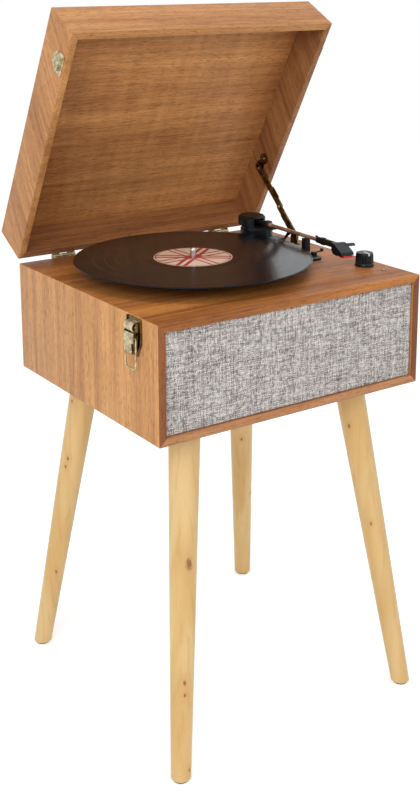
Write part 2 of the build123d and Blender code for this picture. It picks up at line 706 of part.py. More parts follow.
def ribbed(radius, z):
    """Level outline of the knob: two points on each rib and one in the groove beside it."""
    points = []
    for index in range(knob_grooves * 3):
        angle = math.radians(index * 120 / knob_grooves)
        reach = radius - knob_groove_depth if index % 3 == 0 else radius
        points.append((knob_x + reach * math.cos(angle), knob_y + reach * math.sin(angle), z))
    return make_face(Polyline(points, close=True))


def controls():
    """Ribbed volume knob, lamp, speed lever, and the amplifier under the deck."""
    z = deck_z + 0.5
    skirt_radius = knob_radius + 0.7
    knob = loft([ribbed(skirt_radius, z + 2), ribbed(knob_radius, z + knob_height - 0.5)], ruled=True)
    knob += Pos(knob_x, knob_y, z) * Cone(knob_foot_radius, skirt_radius, 2,
                                          align=(Align.CENTER, Align.CENTER, Align.MIN))
    knob -= Pos(knob_x, knob_y - knob_radius / 2, z + knob_height - 0.5) * Box(1.2, knob_radius - 2, 0.8)
    knob += upright(knob_x, knob_y, inner_high - 8, z + 1, 3.0)
    nodes["volume_knob"] = knob
    lamp = upright(lamp_x, lamp_y, inner_high - 2, deck_z + 0.6, 1.6)
    nodes["power_lamp"] = lamp
    lever = upright(speed_x, speed_y, deck_z + 3.6, deck_z + 6, 2.0)
    lever += upright(speed_x, speed_y, deck_z + 5.8, deck_z + 7.4, 4.0)
    lever += block(speed_x, speed_x + 15, speed_y - 1.6, speed_y + 1.6, deck_z + 5.8, deck_z + 7.4)
    lever += block(speed_x + 12, speed_x + 15, speed_y - 1.6, speed_y + 1.6, deck_z + 5.8, deck_z + 10)
    nodes["speed_lever"] = lever
    nodes["amplifier_board"] = amplifier()


def amplifier():
    """Circuit board on four posts under the deck, with the knob's control and parts on it."""
    pot = block(knob_x - 8.5, knob_x + 8.5, knob_y - 8.5, knob_y + 8.5, inner_high - 10, inner_high)
    pot += upright(knob_x, knob_y, inner_high, deck_z, bushing_radius)
    pot -= upright(knob_x, knob_y, inner_high - 9, deck_z + 1, 3.0 + running_gap)
    x0, x1, y0, y1 = 104, 178, -84, -14
    high = inner_high - 12
    card = block(x0, x1, y0, y1, high - 1.6, high)
    for cx in (x0 + 5, x1 - 5):
        for cy in (y0 + 5, y1 - 5):
            card += block(cx - 2.6, cx + 2.6, cy - 2.6, cy + 2.6, high, inner_high)
    for cx, cy, radius, tall in ((120, -62, 6.3, 16), (136, -62, 6.3, 16), (150, -66, 4, 11)):
        card += upright(cx, cy, high - 1.6 - tall, high - 1.6, radius)
    card += block(114, 146, -44, -38, high - 24, high - 1.6)
    for index in range(7):
        x = 116 + index * 4.4
        card += block(x, x + 1.4, -38, -28, high - 24, high - 1.6)
    return group([pot, card])


def sockets():
    """Socket plate on the back panel with its power inlet, line input and output sockets."""
    y = half_depth
    plate = block(jack_x - 40, jack_x + 40, y, y + 2, jack_z - 20, jack_z + 20)
    plate = fillet(plate.edges().filter_by(Axis.Y), 4)
    inlet_x, aux_x = jack_x - 26, jack_x - 8
    rca_x = (jack_x + 11, jack_x + 27)
    plate -= rod((inlet_x, y - 1, jack_z), (inlet_x, y + 3, jack_z), 5.0)
    plate -= rod((aux_x, y - 1, jack_z), (aux_x, y + 3, jack_z), 3.6)
    for x in rca_x:
        plate -= rod((x, y - 1, jack_z), (x, y + 3, jack_z), 4.8)
    screws = [pan_head((jack_x + dx, y + 2, jack_z + dz), (0, 1, 0)) for dx in (-34, 34) for dz in (-14, 14)]
    nodes["jack_plate"] = plate
    inlet = rod((inlet_x, y - 12, jack_z), (inlet_x, y + 2.8, jack_z), 5.0)
    inlet -= rod((inlet_x, y - 9, jack_z), (inlet_x, y + 3, jack_z), inlet_radius)
    inlet += rod((inlet_x, y - 10, jack_z), (inlet_x, y + 1, jack_z), 1.0)
    nodes["dc_inlet"] = inlet
    aux = rod((aux_x, y - 14, jack_z), (aux_x, y + 3, jack_z), 3.6)
    aux += rod((aux_x, y + 2, jack_z), (aux_x, y + 3.2, jack_z), 4.6)
    aux -= rod((aux_x, y + 3.2 - aux_depth, jack_z), (aux_x, y + 4, jack_z), aux_radius)
    nodes["aux_socket"] = aux
    pair = []
    for x in rca_x:
        shell = rod((x, y - 12, jack_z), (x, y + 2 + rca_length, jack_z), rca_radius)
        shell += rod((x, y - 3, jack_z), (x, y + 2, jack_z), 4.8)
        shell -= rod((x, y + 2 + rca_length - 8, jack_z), (x, y + 3 + rca_length, jack_z), 1.7)
        pair.append(shell)
    nodes["rca_sockets"] = group(pair)
    return screws


def panel_screws():
    """Screw heads along the edge of the back panel."""
    heads = []
    for x in (-176, -60, 60, 176):
        for z in (inner_low + 7, inner_high - 7):
            heads.append(pan_head((x, half_depth, z), (0, 1, 0)))
    return heads


def main():
    cabinet_boards()
    back_panel()
    front_panel()
    screws = legs()
    lid()
    screws += hinges()
    latches()
    stay()
    turntable()
    tonearm_base()
    cue_lift()
    arm_clip()
    arm_turret()
    arm()
    head()
    controls()
    screws += sockets()
    screws += panel_screws()
    nodes["cabinet_screws"] = group(screws)
    boxes = [piece.bounding_box() for piece in nodes.values()]
    middle_y = round((min(box.min.Y for box in boxes) + max(box.max.Y for box in boxes)) / 2, 2)
    print("origin", middle_y, "mm behind the middle of the cabinet")
    os.makedirs("parts", exist_ok=True)
    for name, piece in nodes.items():
        export_step(piece.translate((0, -middle_y, 0)), "parts/" + name + ".step")
    print(len(nodes), "nodes")


main()
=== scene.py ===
import json
import math

import bmesh
import bpy
import numpy as np
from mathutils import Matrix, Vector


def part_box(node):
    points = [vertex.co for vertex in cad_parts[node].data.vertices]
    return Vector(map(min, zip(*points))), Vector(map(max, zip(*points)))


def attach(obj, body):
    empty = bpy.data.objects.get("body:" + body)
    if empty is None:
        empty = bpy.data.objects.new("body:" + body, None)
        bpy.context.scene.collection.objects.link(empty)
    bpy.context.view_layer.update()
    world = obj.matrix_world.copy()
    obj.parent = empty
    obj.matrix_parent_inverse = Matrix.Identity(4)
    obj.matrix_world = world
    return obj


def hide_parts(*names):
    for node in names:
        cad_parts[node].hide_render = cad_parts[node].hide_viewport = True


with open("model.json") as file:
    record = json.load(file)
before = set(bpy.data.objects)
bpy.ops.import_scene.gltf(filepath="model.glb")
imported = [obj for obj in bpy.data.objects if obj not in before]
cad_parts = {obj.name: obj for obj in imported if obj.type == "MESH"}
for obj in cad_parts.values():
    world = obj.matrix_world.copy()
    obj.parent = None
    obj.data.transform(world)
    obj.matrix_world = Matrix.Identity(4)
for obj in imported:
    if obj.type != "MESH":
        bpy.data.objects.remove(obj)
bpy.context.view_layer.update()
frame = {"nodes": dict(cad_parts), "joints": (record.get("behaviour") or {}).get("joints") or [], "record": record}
joints = {joint["name"]: joint for joint in frame["joints"]}
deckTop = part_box("deck_panel")[1].z
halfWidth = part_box("deck_panel")[1].x
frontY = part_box("deck_panel")[0].y
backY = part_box("deck_panel")[1].y
middleY = (frontY + backY) / 2
halfDepth = (backY - frontY) / 2
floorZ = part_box("bottom_panel")[0].z
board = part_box("bottom_panel")[1].z - floorZ
hingeY, hingeZ = joints["lid_hinge"]["pos_m"][1:]
lidAngle = math.radians(joints["lid_hinge"]["range_deg"][0])
shiftY = 0.01598  # a place's Y in the part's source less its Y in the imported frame


def paint(red, green, blue):  # a colour as it looks on screen, 0 to 255, in the renderer's linear values
    return tuple(((c / 255 + 0.055) / 1.055) ** 2.4 if c > 10 else c / 255 / 12.92 for c in (red, green, blue)) + (1,)


# Mesh parts: each is its points, its faces and the number of its material on the piece


def surface(points, closeRows=False, caps=True, skin=0):
    # rings of points (rows, cols, 3) joined by quads; the first and the last ring are closed by flat caps
    rows, cols = points.shape[:2]
    a, b = np.meshgrid(np.arange(rows if closeRows else rows - 1), np.arange(cols), indexing="ij")
    n, m = (a + 1) % rows, (b + 1) % cols
    faces = np.stack([a * cols + b, n * cols + b, n * cols + m, a * cols + m], -1).reshape(-1, 4).tolist()
    if caps:
        faces.append(list(range(cols))[::-1])
        faces.append(list(range((rows - 1) * cols, rows * cols)))
    return points.reshape(-1, 3), faces, skin


def softened(corners, radius, steps=4, closed=True):
    # outline whose corners are cut by arcs: each arc touches both edges at radius / tan(half the corner's angle)
    pts = [np.array(c, float) for c in corners]
    radii = radius if hasattr(radius, "__len__") else [radius] * len(pts)
    out = []
    for k, here in enumerate(pts):
        if not closed and k in (0, len(pts) - 1):
            out.append(here)
            continue
        to, fro = pts[k - 1] - here, pts[(k + 1) % len(pts)] - here
        lengths = np.linalg.norm(to), np.linalg.norm(fro)
        to, fro = to / lengths[0], fro / lengths[1]
        half = math.acos(max(-1, min(1, to @ fro))) / 2
        reach = min(radii[k] / math.tan(half), 0.49 * min(lengths)) if radii[k] > 0 and half < 1.55 else 0
        if reach <= 0:
            out.append(here)
            continue
        centre = here + (to + fro) / np.linalg.norm(to + fro) * reach / math.cos(half)
        start, end = here + to * reach - centre, here + fro * reach - centre
        size = np.linalg.norm(start)
        turn = math.acos(max(-1, min(1, start @ end / size / size)))
        for s in np.linspace(0, 1, steps + 1):
            out.append(centre + (math.sin((1 - s) * turn) * start + math.sin(s * turn) * end) / math.sin(turn))
    return np.array(out)


def inset(outline, distance):
    # every point of a closed outline moved inwards along the mitre of its two edges
    ahead = np.roll(outline, -1, 0) - outline
    ahead /= np.maximum(np.linalg.norm(ahead, axis=1, keepdims=True), 1e-12)
    area = np.sum(outline[:, 0] * np.roll(outline[:, 1], -1) - np.roll(outline[:, 0], -1) * outline[:, 1])
    normal = np.stack([-ahead[:, 1], ahead[:, 0]], 1) * np.sign(area)
    before = np.roll(normal, 1, 0)
    share = 1 + np.sum(normal * before, 1, keepdims=True)
    return outline + distance * (normal + before) / np.maximum(share, 0.3)


def plate(outline, low, high, edge, steps=2, skin=0):
    # flat piece of a closed outline with rounded edges: rings drawn in by edge * (1 - cos) while rising by edge * sin
    turn = np.linspace(0, math.pi / 2, steps + 1)
    rings = [(low + edge * (1 - math.sin(a)), edge * (1 - math.cos(a))) for a in turn[::-1]]
    rings += [(high - edge * (1 - math.sin(a)), edge * (1 - math.cos(a))) for a in turn]
    outline = np.asarray(outline, float)
    points = np.stack([np.column_stack([inset(outline, d), np.full(len(outline), h)]) for h, d in rings])
    return surface(points, skin=skin)


def roundBox(x0, x1, y0, y1, z0, z1, edge, corner=None):
    # box with rounded edges in the piece's second material; corner is the radius of its four upright edges
    outline = softened([(x0, y0), (x1, y0), (x1, y1), (x0, y1)], corner or edge, 5)
    return plate(outline, z0, z1, edge, 3, 1)


def fullTurn(sides):
    return np.arange(sides) * 2 * math.pi / sides


def turned(profile, sides, closed=False, skin=0):
    # (radius, height) points swung once round the Z axis
    profile = np.asarray(profile, float)
    turn = fullTurn(sides)
    points = np.stack([np.outer(profile[:, 0], np.cos(turn)), np.outer(profile[:, 0], np.sin(turn)),
                       np.repeat(profile[:, 1:2], sides, 1)], -1)
    return surface(points, closeRows=closed, caps=not closed, skin=skin)


def bar(radius, low, high, edge=0.0003, sides=40, skin=0):
    # round bar along Z with softened ends
    profile = softened([(1e-5, low), (radius, low), (radius, high), (1e-5, high)], [0, edge, edge, 0], 3, False)
    return turned(profile, sides, skin=skin)


def tube(path, normal, radius, sides):
    # a circle carried along a flat path; it is spanned by the path's plane normal and by tangent x normal
    tangent = np.gradient(path, axis=0)
    tangent /= np.linalg.norm(tangent, axis=1, keepdims=True)
    aside = np.cross(tangent, normal)
    turn = fullTurn(sides)[None, :, None]
    return surface(path[:, None] + radius * (aside[:, None] * np.cos(turn) + np.array(normal, float) * np.sin(turn)))


def moved(part, origin=(0, 0, 0), x=(1, 0, 0), y=(0, 1, 0), z=(0, 0, 1)):
    # the part drawn in its own axes, put at origin with its axes along x, y and z
    points, faces, skin = part
    return points @ np.array([x, y, z], float) + np.array(origin, float), faces, skin


# Axes for moved: what is drawn along Z lies along X, along Y, or points out of the left side
layX = ((0, 1, 0), (0, 0, 1), (1, 0, 0))
layY = ((1, 0, 0), (0, 0, 1), (0, 1, 0))
outLeft = ((0, 1, 0), (0, 0, 1), (-1, 0, 0))


def nodePoints(name):
    return np.array([v.co for v in frame["nodes"][name].data.vertices])


def turnedBy(part, angle, axis, about=(0, 0, 0)):
    # Rodrigues' formula: p cos + (axis x p) sin + axis (axis . p) (1 - cos)
    points, faces, skin = part
    k = np.array(axis, float) / np.linalg.norm(axis)
    p = points - np.array(about, float)
    c, s = math.cos(angle), math.sin(angle)
    return p * c + np.cross(k, p) * s + np.outer(p @ k, k) * (1 - c) + np.array(about, float), faces, skin


def flipped(part):
    points, faces, skin = part
    return points * [-1, 1, 1], faces, skin


def opened(parts):
    # drawn on the closed lid, swung to the open position about the hinge
    return [turnedBy(part, -lidAngle, (-1, 0, 0), (0, hingeY, hingeZ)) for part in parts]


def piece(name, parts, skins, body, stands=(), sharp=38, weld=False):
    mesh = bpy.data.meshes.new(name)
    points, faces, numbers, start = [], [], [], 0
    for pts, fcs, skin in parts:
        points.append(pts)
        faces += [[start + v for v in face] for face in fcs]
        numbers += [skin] * len(fcs)
        start += len(pts)
    mesh.from_pydata(np.concatenate(points).tolist(), [], faces)
    mesh.polygons.foreach_set("material_index", numbers)
    work = bmesh.new()
    work.from_mesh(mesh)
    if weld:
        bmesh.ops.remove_doubles(work, verts=work.verts, dist=2e-6)
        bmesh.ops.dissolve_degenerate(work, edges=work.edges, dist=1e-7)
    bmesh.ops.recalc_face_normals(work, faces=work.faces)
    work.to_mesh(mesh)
    work.free()
    for skin in skins:
        mesh.materials.append(skin)
    mesh.polygons.foreach_set("use_smooth", [True] * len(mesh.polygons))
    mesh.set_sharp_from_angle(angle=math.radians(sharp))
    made = bpy.data.objects.new(name, mesh)
    bpy.context.scene.collection.objects.link(made)
    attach(made, body)
    if stands:
        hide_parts(*stands)
    return made


# Shader nodes


class Graph:
    # short forms for adding nodes to one tree; an input is a socket or a constant
    def __init__(self, tree):
        self.tree = tree

    def add(self, kind, inputs=()):
        made = self.tree.nodes.new(kind)
        for key, value in dict(inputs).items():
            self.set(made.inputs[key], value)
        return made

    def set(self, socket, value):
        if isinstance(value, bpy.types.NodeSocket):
            self.tree.links.new(value, socket)
        elif value is not None:
            socket.default_value = value

    def math(self, operation, a, b=None, c=None, clamp=False):
        made = self.tree.nodes.new("ShaderNodeMath")
        made.operation, made.use_clamp = operation, clamp
        for socket, value in zip(made.inputs, (a, b, c)):
            self.set(socket, value)
        return made.outputs[0]

    def vector(self, operation, a, b=None):
        made = self.tree.nodes.new("ShaderNodeVectorMath")
        made.operation = operation
        self.set(made.inputs[0], a)
        self.set(made.inputs[3 if operation == "SCALE" else 1], b)
        return made.outputs["Value" if operation in ("LENGTH", "DISTANCE", "DOT_PRODUCT") else "Vector"]

    def mix(self, share, a, b, blend="MIX"):
        made = self.tree.nodes.new("ShaderNodeMix")
        made.data_type, made.blend_type = "RGBA", blend
        for socket, value in zip((made.inputs[0], made.inputs[6], made.inputs[7]), (share, a, b)):
            self.set(socket, value)
        return made.outputs[2]

    def span(self, value, low, high, to=0.0, end=1.0):
        made = self.tree.nodes.new("ShaderNodeMapRange")
        made.interpolation_type = "SMOOTHSTEP"
        for socket, number in zip(made.inputs, (value, low, high, to, end)):
            self.set(socket, number)
        return made.outputs[0]

    def noise(self, where, scale, detail=2.0, rough=0.5, colour=False):
        # three scales stretch the pattern along its axes
        if isinstance(scale, tuple):
            where, scale = self.vector("MULTIPLY", where, scale), 1
        made = self.add("ShaderNodeTexNoise", {"Vector": where, "Scale": scale, "Detail": detail, "Roughness": rough})
        return made.outputs["Color" if colour else 0]

    def swayed(self, where, scale, reach):
        # a place pushed about by noise, up to half of reach either way along each axis
        push = self.vector("SUBTRACT", self.noise(where, scale, colour=True), (0.5, 0.5, 0.5))
        return self.vector("ADD", where, self.vector("MULTIPLY", push, reach))

    def split(self, where):
        return self.add("ShaderNodeSeparateXYZ", {0: where}).outputs

    def place(self, turn=(0, 0, 0), shift=(0, 0, 0)):
        # the piece's own coordinates, turned so that a pattern's X runs where the grain does
        spot = self.add("ShaderNodeTexCoord").outputs["Object"]
        return self.add("ShaderNodeMapping", {"Vector": spot, "Rotation": turn, "Location": shift}).outputs[0]


def group(name, inputs, outputs, build):
    # inputs and outputs list the sockets' names under their kind
    tree = bpy.data.node_groups.new(name, "ShaderNodeTree")
    for way, sockets in (("INPUT", inputs), ("OUTPUT", outputs)):
        for kind, labels in sockets.items():
            for label in labels:
                tree.interface.new_socket(name=label, in_out=way, socket_type="NodeSocket" + kind)
    g = Graph(tree)
    given = g.add("NodeGroupInput").outputs
    taken = g.add("NodeGroupOutput").inputs
    for label, socket in build(g, given).items():
        tree.links.new(socket, taken[label])
    return tree


def useGroup(g, tree, inputs):
    made = g.tree.nodes.new("ShaderNodeGroup")
    made.node_tree = tree
    for label, value in inputs.items():
        g.set(made.inputs[label], value)
    return made.outputs


def material(name, build, **constants):
    made = bpy.data.materials.new(name)
    made.use_nodes = True
    made.node_tree.nodes.clear()
    g = Graph(made.node_tree)
    shader = g.add("ShaderNodeBsdfPrincipled")
    for label, value in constants.items():
        shader.inputs[label.replace("_", " ")].default_value = value
    for label, socket in build(g).items():
        g.set(shader.inputs[label.replace("_", " ")], socket)
    g.add("ShaderNodeOutputMaterial", {0: shader.outputs[0]})
    return made


def bumped(g, height, distance, strength=1.0):
    return g.add("ShaderNodeBump", {"Height": height, "Distance": distance, "Strength": strength}).outputs[0]


def veneerGroup(g, given):
    # grain runs along X: broad bands, streaks, fibres, short dark pores, and a faint ripple across the grain
    where = given["Vector"]
    bent = g.swayed(where, (2.2, 9, 9), (0, 0.022, 0.022))
    bands = g.noise(bent, (1.1, 17, 17))
    streaks = g.noise(bent, (3.5, 110, 110), 3, 0.6)
    fibres = g.noise(bent, (22, 700, 700), 2, 0.6)
    ripple = g.noise(where, (75, 12, 12))
    tone = 0.5
    for wave, share in ((bands, "Bands"), (streaks, "Streaks"), (fibres, "Fibres"), (ripple, "Ripple")):
        tone = g.math("MULTIPLY_ADD", g.math("SUBTRACT", wave, 0.5), given[share], tone, clamp=share == "Ripple")
    colour = g.mix(tone, given["Dark"], given["Light"])
    dash = g.span(g.noise(bent, (110, 1250, 1250), 1), 0.56, 0.70)
    colour = g.mix(g.math("MULTIPLY", dash, given["Pores"]), colour, given["Pore"])
    height = g.math("SUBTRACT", g.math("MULTIPLY", fibres, 0.4), dash)
    rough = g.math("MULTIPLY_ADD", dash, 0.12, g.math("MULTIPLY_ADD", streaks, 0.1, 0.40))
    return {"Color": colour, "Height": height, "Roughness": rough}


veneerTree = group("veneer", {"Vector": ["Vector"], "Color": ["Light", "Dark", "Pore"],
                              "Float": ["Bands", "Streaks", "Fibres", "Ripple", "Pores"]},
                   {"Color": ["Color"], "Float": ["Height", "Roughness"]}, veneerGroup)

veneer = {
    "light": (222, 162, 102), "dark": (160, 102, 58), "pore": (104, 60, 32),
    "bands": 1.4, "streaks": 1.5, "fibres": 0.9, "ripple": 0.15, "pores": 0.55,
    "edging": (150, 98, 66), "bump": 0.00006, "specular": 0.28,
}


def veneerMaterial(name, turn=(0, 0, 0), shift=(0, 0, 0), banded=False, **changes):
    look = dict(veneer, **changes)

    def build(g):
        given = {"Vector": g.place(turn, shift)}
        given.update({tone.title(): paint(*look[tone]) for tone in ("light", "dark", "pore")})
        given.update({share.title(): look[share] for share in ("bands", "streaks", "fibres", "ripple", "pores")})
        made = useGroup(g, veneerTree, given)
        colour = made["Color"]
        if banded:  # the front edge wears a darker strip of edging
            front = g.span(g.split(g.place())[1], frontY + 0.0009, frontY + 0.0005)
            strip = g.mix(0.8, (1, 1, 1, 1), paint(*look["edging"]))
            colour = g.mix(front, colour, g.mix(1.0, colour, strip, "MULTIPLY"))
        return {"Base_Color": colour, "Roughness": made["Roughness"],
                "Normal": bumped(g, made["Height"], look["bump"])}

    return material(name, build, Specular_IOR_Level=look["specular"])


# Turns of the veneer's pattern: grain across the part, upright, or along the open lid's side walls
acrossX, uprightZ, alongLid = (0, 0, 0), (0, math.radians(90), 0), (lidAngle, 0, math.radians(90))

# Other finishes


def grilleGroup(g, given):
    # plain weave: thread numbers from the place over the pitch, every second crossing shows the upright thread
    spot = g.split(given["Vector"])
    across = g.math("DIVIDE", spot[0], given["Pitch"])
    up = g.math("DIVIDE", spot[2], given["Pitch"])
    column, row = g.math("FLOOR", across), g.math("FLOOR", up)
    over = g.math("MODULO", g.math("ABSOLUTE", g.math("ADD", column, row)), 2)
    tones = []
    for number, along, share in ((column, spot[2], 0.37), (row, spot[0], 0.71)):
        fine, slow = (g.add("ShaderNodeCombineXYZ", {0: g.math("MULTIPLY", number, apart), 2: share,
                                                     1: g.math("MULTIPLY", along, rate)}).outputs[0]
                      for apart, rate in ((3.1, 150), (5.3, 22)))
        fine = g.math("MULTIPLY", g.noise(fine, 1, 2, 0.6), 0.6)
        tones.append(g.span(g.math("ADD", fine, g.math("MULTIPLY", g.noise(slow, 1), 0.4)), 0.38, 0.62))
    tone = g.math("ADD", g.math("MULTIPLY", tones[0], over),
                  g.math("MULTIPLY", tones[1], g.math("SUBTRACT", 1.0, over)))
    dome = g.math("MULTIPLY", *(g.math("SINE", g.math("MULTIPLY", g.math("FRACT", place), math.pi))
                                for place in (across, up)))
    # painted shade: the tone darkens towards each thread's edges by its dome, as in the hollows between the threads
    shade = g.math("MULTIPLY", tone, g.math("MULTIPLY_ADD", dome, 0.3, 0.75))
    return {"Color": g.mix(shade, given["Dark"], given["Light"]), "Height": dome}


grilleTree = group("grilleWeave", {"Vector": ["Vector"], "Float": ["Pitch"], "Color": ["Light", "Dark"]},
                   {"Color": ["Color"], "Float": ["Height"]}, grilleGroup)
cloth = {"pitch": 0.00125, "light": (255, 250, 244), "dark": (112, 100, 98), "bump": 0.0003,
         "inset": 0.0006, "crown": 0.0022, "corner": 0.003, "depth": 0.010, "thick": 0.0007}


def grilleMaterial():
    def build(g):
        made = useGroup(g, grilleTree, {"Vector": g.place(), "Pitch": cloth["pitch"], "Light": paint(*cloth["light"]),
                                        "Dark": paint(*cloth["dark"])})
        return {"Base_Color": made["Color"], "Normal": bumped(g, made["Height"], cloth["bump"])}

    return material("grilleWeave", build, Roughness=0.9, Sheen_Weight=0.15, Specular_IOR_Level=0.2)


def worn(name, light, dark, scale=60, rough=(0.25, 0.5), bump=0.00003, **constants):
    # two tones mottled by noise, with a fine grain in the roughness and the bump
    def build(g):
        spot = g.place()
        patch = g.noise(spot, scale, 4, 0.6)
        grain = g.noise(spot, scale * 22, 2, 0.6)
        tone = g.span(g.math("MULTIPLY_ADD", g.math("SUBTRACT", grain, 0.5), 0.5, patch), 0.35, 0.65)
        return {"Base_Color": g.mix(tone, paint(*dark), paint(*light)), "Roughness": g.span(patch, 0.3, 0.7, *rough),
                "Normal": bumped(g, grain, bump)}

    return material(name, build, **constants)


brass = worn("antiqueBrass", (222, 208, 172), (150, 134, 98), 160, (0.30, 0.46), 0.00003, Metallic=0.85)
darkBrass = worn("darkBrass", (138, 116, 74), (72, 56, 34), 120, (0.25, 0.45), 0.00004, Metallic=1.0)
steel = worn("turnedSteel", (215, 215, 215), (170, 170, 172), 200, (0.12, 0.25), 0.00001, Metallic=1.0)
plainBrass = worn("bearingBrass", (205, 175, 110), (170, 140, 80), 120, (0.2, 0.35), 0.00002, Metallic=1.0)
platedSteel = worn("platedSteel", (120, 120, 118), (88, 88, 88), 120, (0.3, 0.5), 0.00003, Metallic=0.9)
plastic = worn("blackPlastic", (28, 28, 30), (15, 15, 16), 130, (0.26, 0.40), 0.00003, Specular_IOR_Level=0.3,
               Specular_Tint=(0.72, 0.9, 1.0, 1))
softPlastic = worn("greyPlastic", (112, 112, 112), (88, 88, 88), 130, (0.45, 0.6), 0.00004)
bronze = worn("bronzeTube", (196, 160, 134), (164, 128, 102), 90, (0.22, 0.34), 0.00001, Metallic=0.55)
rubber = worn("beltRubber", (38, 38, 38), (24, 24, 24), 200, (0.6, 0.8), 0.00005)
felt = worn("matFelt", (44, 44, 46), (22, 22, 24), 900, (0.85, 0.95), 0.0002, Sheen_Weight=0.3)
red = worn("stylusRed", (196, 26, 34), (160, 12, 20), 80, (0.2, 0.3), 0.00001)
fibreboard = worn("fibreboard", (150, 118, 84), (112, 84, 58), 260, (0.75, 0.9), 0.0001)
cone = worn("speakerPaper", (44, 44, 44), (26, 26, 26), 240, (0.7, 0.9), 0.0001)
card = worn("circuitCard", (34, 96, 58), (20, 66, 40), 90, (0.35, 0.5), 0.00003)
lens = worn("lampLens", (236, 226, 226), (208, 190, 190), 300, (0.1, 0.2), 0.00001)
white = worn("pointerPaint", (238, 238, 236), (216, 216, 214), 300, (0.4, 0.5), 0.00001)


# Turned legs of pale wood

leg = {
    "light": (236, 200, 138), "dark": (224, 182, 114), "latewood": (208, 160, 94), "knot": (146, 92, 48),
    "halo": (214, 164, 102), "sides": 72, "edge": 0.0012,
    "knots": {  # share of the height, direction round the leg in degrees, size in metres
        "front_left": [(0.285, 250, 0.0035), (0.250, 252, 0.0028), (0.03, 290, 0.003), (0.62, 262, 0.0075)],
        "front_right": [(0.87, 205, 0.0035), (0.55, 225, 0.0026)],
        "back_left": [(0.90, 190, 0.0028), (0.70, 215, 0.0032), (0.67, 210, 0.0028), (0.28, 250, 0.0028)],
        "back_right": [(0.60, 235, 0.0028), (0.36, 300, 0.0026)],
    },
}


def knotGroup(g, given):
    # dark oval core in a soft halo; the grain is pushed aside around it
    away = g.vector("MULTIPLY", g.vector("SUBTRACT", given["Vector"], given["Centre"]), (1, 1, 0.55))
    far = g.math("DIVIDE", g.vector("LENGTH", away), given["Size"])
    wobble = g.math("MULTIPLY_ADD", g.noise(given["Vector"], 420, 3, 0.6), 0.9, -0.45)
    far = g.math("ADD", far, wobble)
    return {"Core": g.span(far, 0.75, 0.25), "Halo": g.span(far, 2.6, 0.5)}


knotTree = group("knot", {"Vector": ["Vector", "Centre"], "Float": ["Size"]}, {"Float": ["Core", "Halo"]}, knotGroup)


def paleGroup(g, given):
    # growth rings cut lengthwise: a wave across the leg, swayed by noise that is long in Z
    where = given["Vector"]
    bent = g.swayed(where, (30, 30, 3), (0.02, 0.02, 0))
    late = g.span(g.noise(bent, (150, 150, 2.5)), 0.52, 0.66)
    fibre = g.noise(bent, (1500, 1500, 30), 2, 0.6)
    broad = g.noise(where, (40, 40, 5), 1)
    colour = g.mix(g.span(broad, 0.35, 0.65), given["Dark"], given["Light"])
    colour = g.mix(g.math("MULTIPLY", late, 0.34), colour, given["Late"])
    colour = g.mix(g.math("MULTIPLY", g.span(fibre, 0.5, 0.75), 0.25), colour, given["Late"])
    return {"Color": colour, "Height": g.math("MULTIPLY_ADD", late, 0.5, fibre)}


paleTree = group("paleWood", {"Vector": ["Vector"], "Color": ["Light", "Dark", "Late"]},
                 {"Color": ["Color"], "Float": ["Height"]}, paleGroup)


def legMaterial(name, seed, knots):
    def build(g):
        spot = g.place()
        made = useGroup(g, paleTree, {"Vector": g.place((0, 0, 0), (seed * 0.31, seed * 0.17, seed * 0.23)),
                                      "Light": paint(*leg["light"]), "Dark": paint(*leg["dark"]),
                                      "Late": paint(*leg["latewood"])})
        colour = made["Color"]
        for centre, size in knots:
            mark = useGroup(g, knotTree, {"Vector": spot, "Centre": centre, "Size": size})
            colour = g.mix(g.math("MULTIPLY", mark["Halo"], 0.4), colour, paint(*leg["halo"]))
            colour = g.mix(g.math("MULTIPLY", mark["Core"], 0.9), colour, paint(*leg["knot"]))
        return {"Base_Color": colour, "Normal": bumped(g, made["Height"], 0.00004)}

    return material("paleWood_" + name, build, Roughness=0.42, Coat_Weight=0.15, Coat_Roughness=0.25)


def legs():
    # straight taper between the two ends of the imported leg, level at both, with an eased rim at the foot
    for seed, (name, knots) in enumerate(leg["knots"].items()):
        points = nodePoints("leg_" + name)
        low, high = points[:, 2].min(), points[:, 2].max()
        ends = []
        for level in (low, high):
            rim = points[np.abs(points[:, 2] - level) < 1e-5]
            middle = (rim.min(0) + rim.max(0)) / 2
            ends.append((middle, (np.ptp(rim[:, 0]) + np.ptp(rim[:, 1])) / 4))
        rise = np.concatenate([[0, 0.0006, 0.0020], np.linspace(0.004, 0.996, 60), [1]])
        ease = leg["edge"] * np.concatenate([[1, 0.35, 0], np.zeros(61)])
        middle = ends[0][0] + np.outer(rise, ends[1][0] - ends[0][0])
        radius = ends[0][1] + rise * (ends[1][1] - ends[0][1]) - ease
        turn = fullTurn(leg["sides"])
        ring = np.column_stack([np.cos(turn), np.sin(turn), 0 * turn])
        grid = middle[:, None] + radius[:, None, None] * ring[None]
        marks = []
        for share, angle, size in knots:
            spot = ends[0][0] + share * (ends[1][0] - ends[0][0])
            reach = ends[0][1] + share * (ends[1][1] - ends[0][1])
            spot = spot + reach * np.array([math.cos(math.radians(angle)), math.sin(math.radians(angle)), 0])
            marks.append((tuple(spot), size))
        wood = legMaterial(name, seed + 1, marks)
        piece("leg_" + name + "_turned", [surface(grid)], [wood], "cabinet", ["leg_" + name])


# Veneered boards: a profile carried along one side of a rectangular frame, mitred at both ends

rounding = {"outer": 0.0011, "inner": 0.0005, "steps": 4}


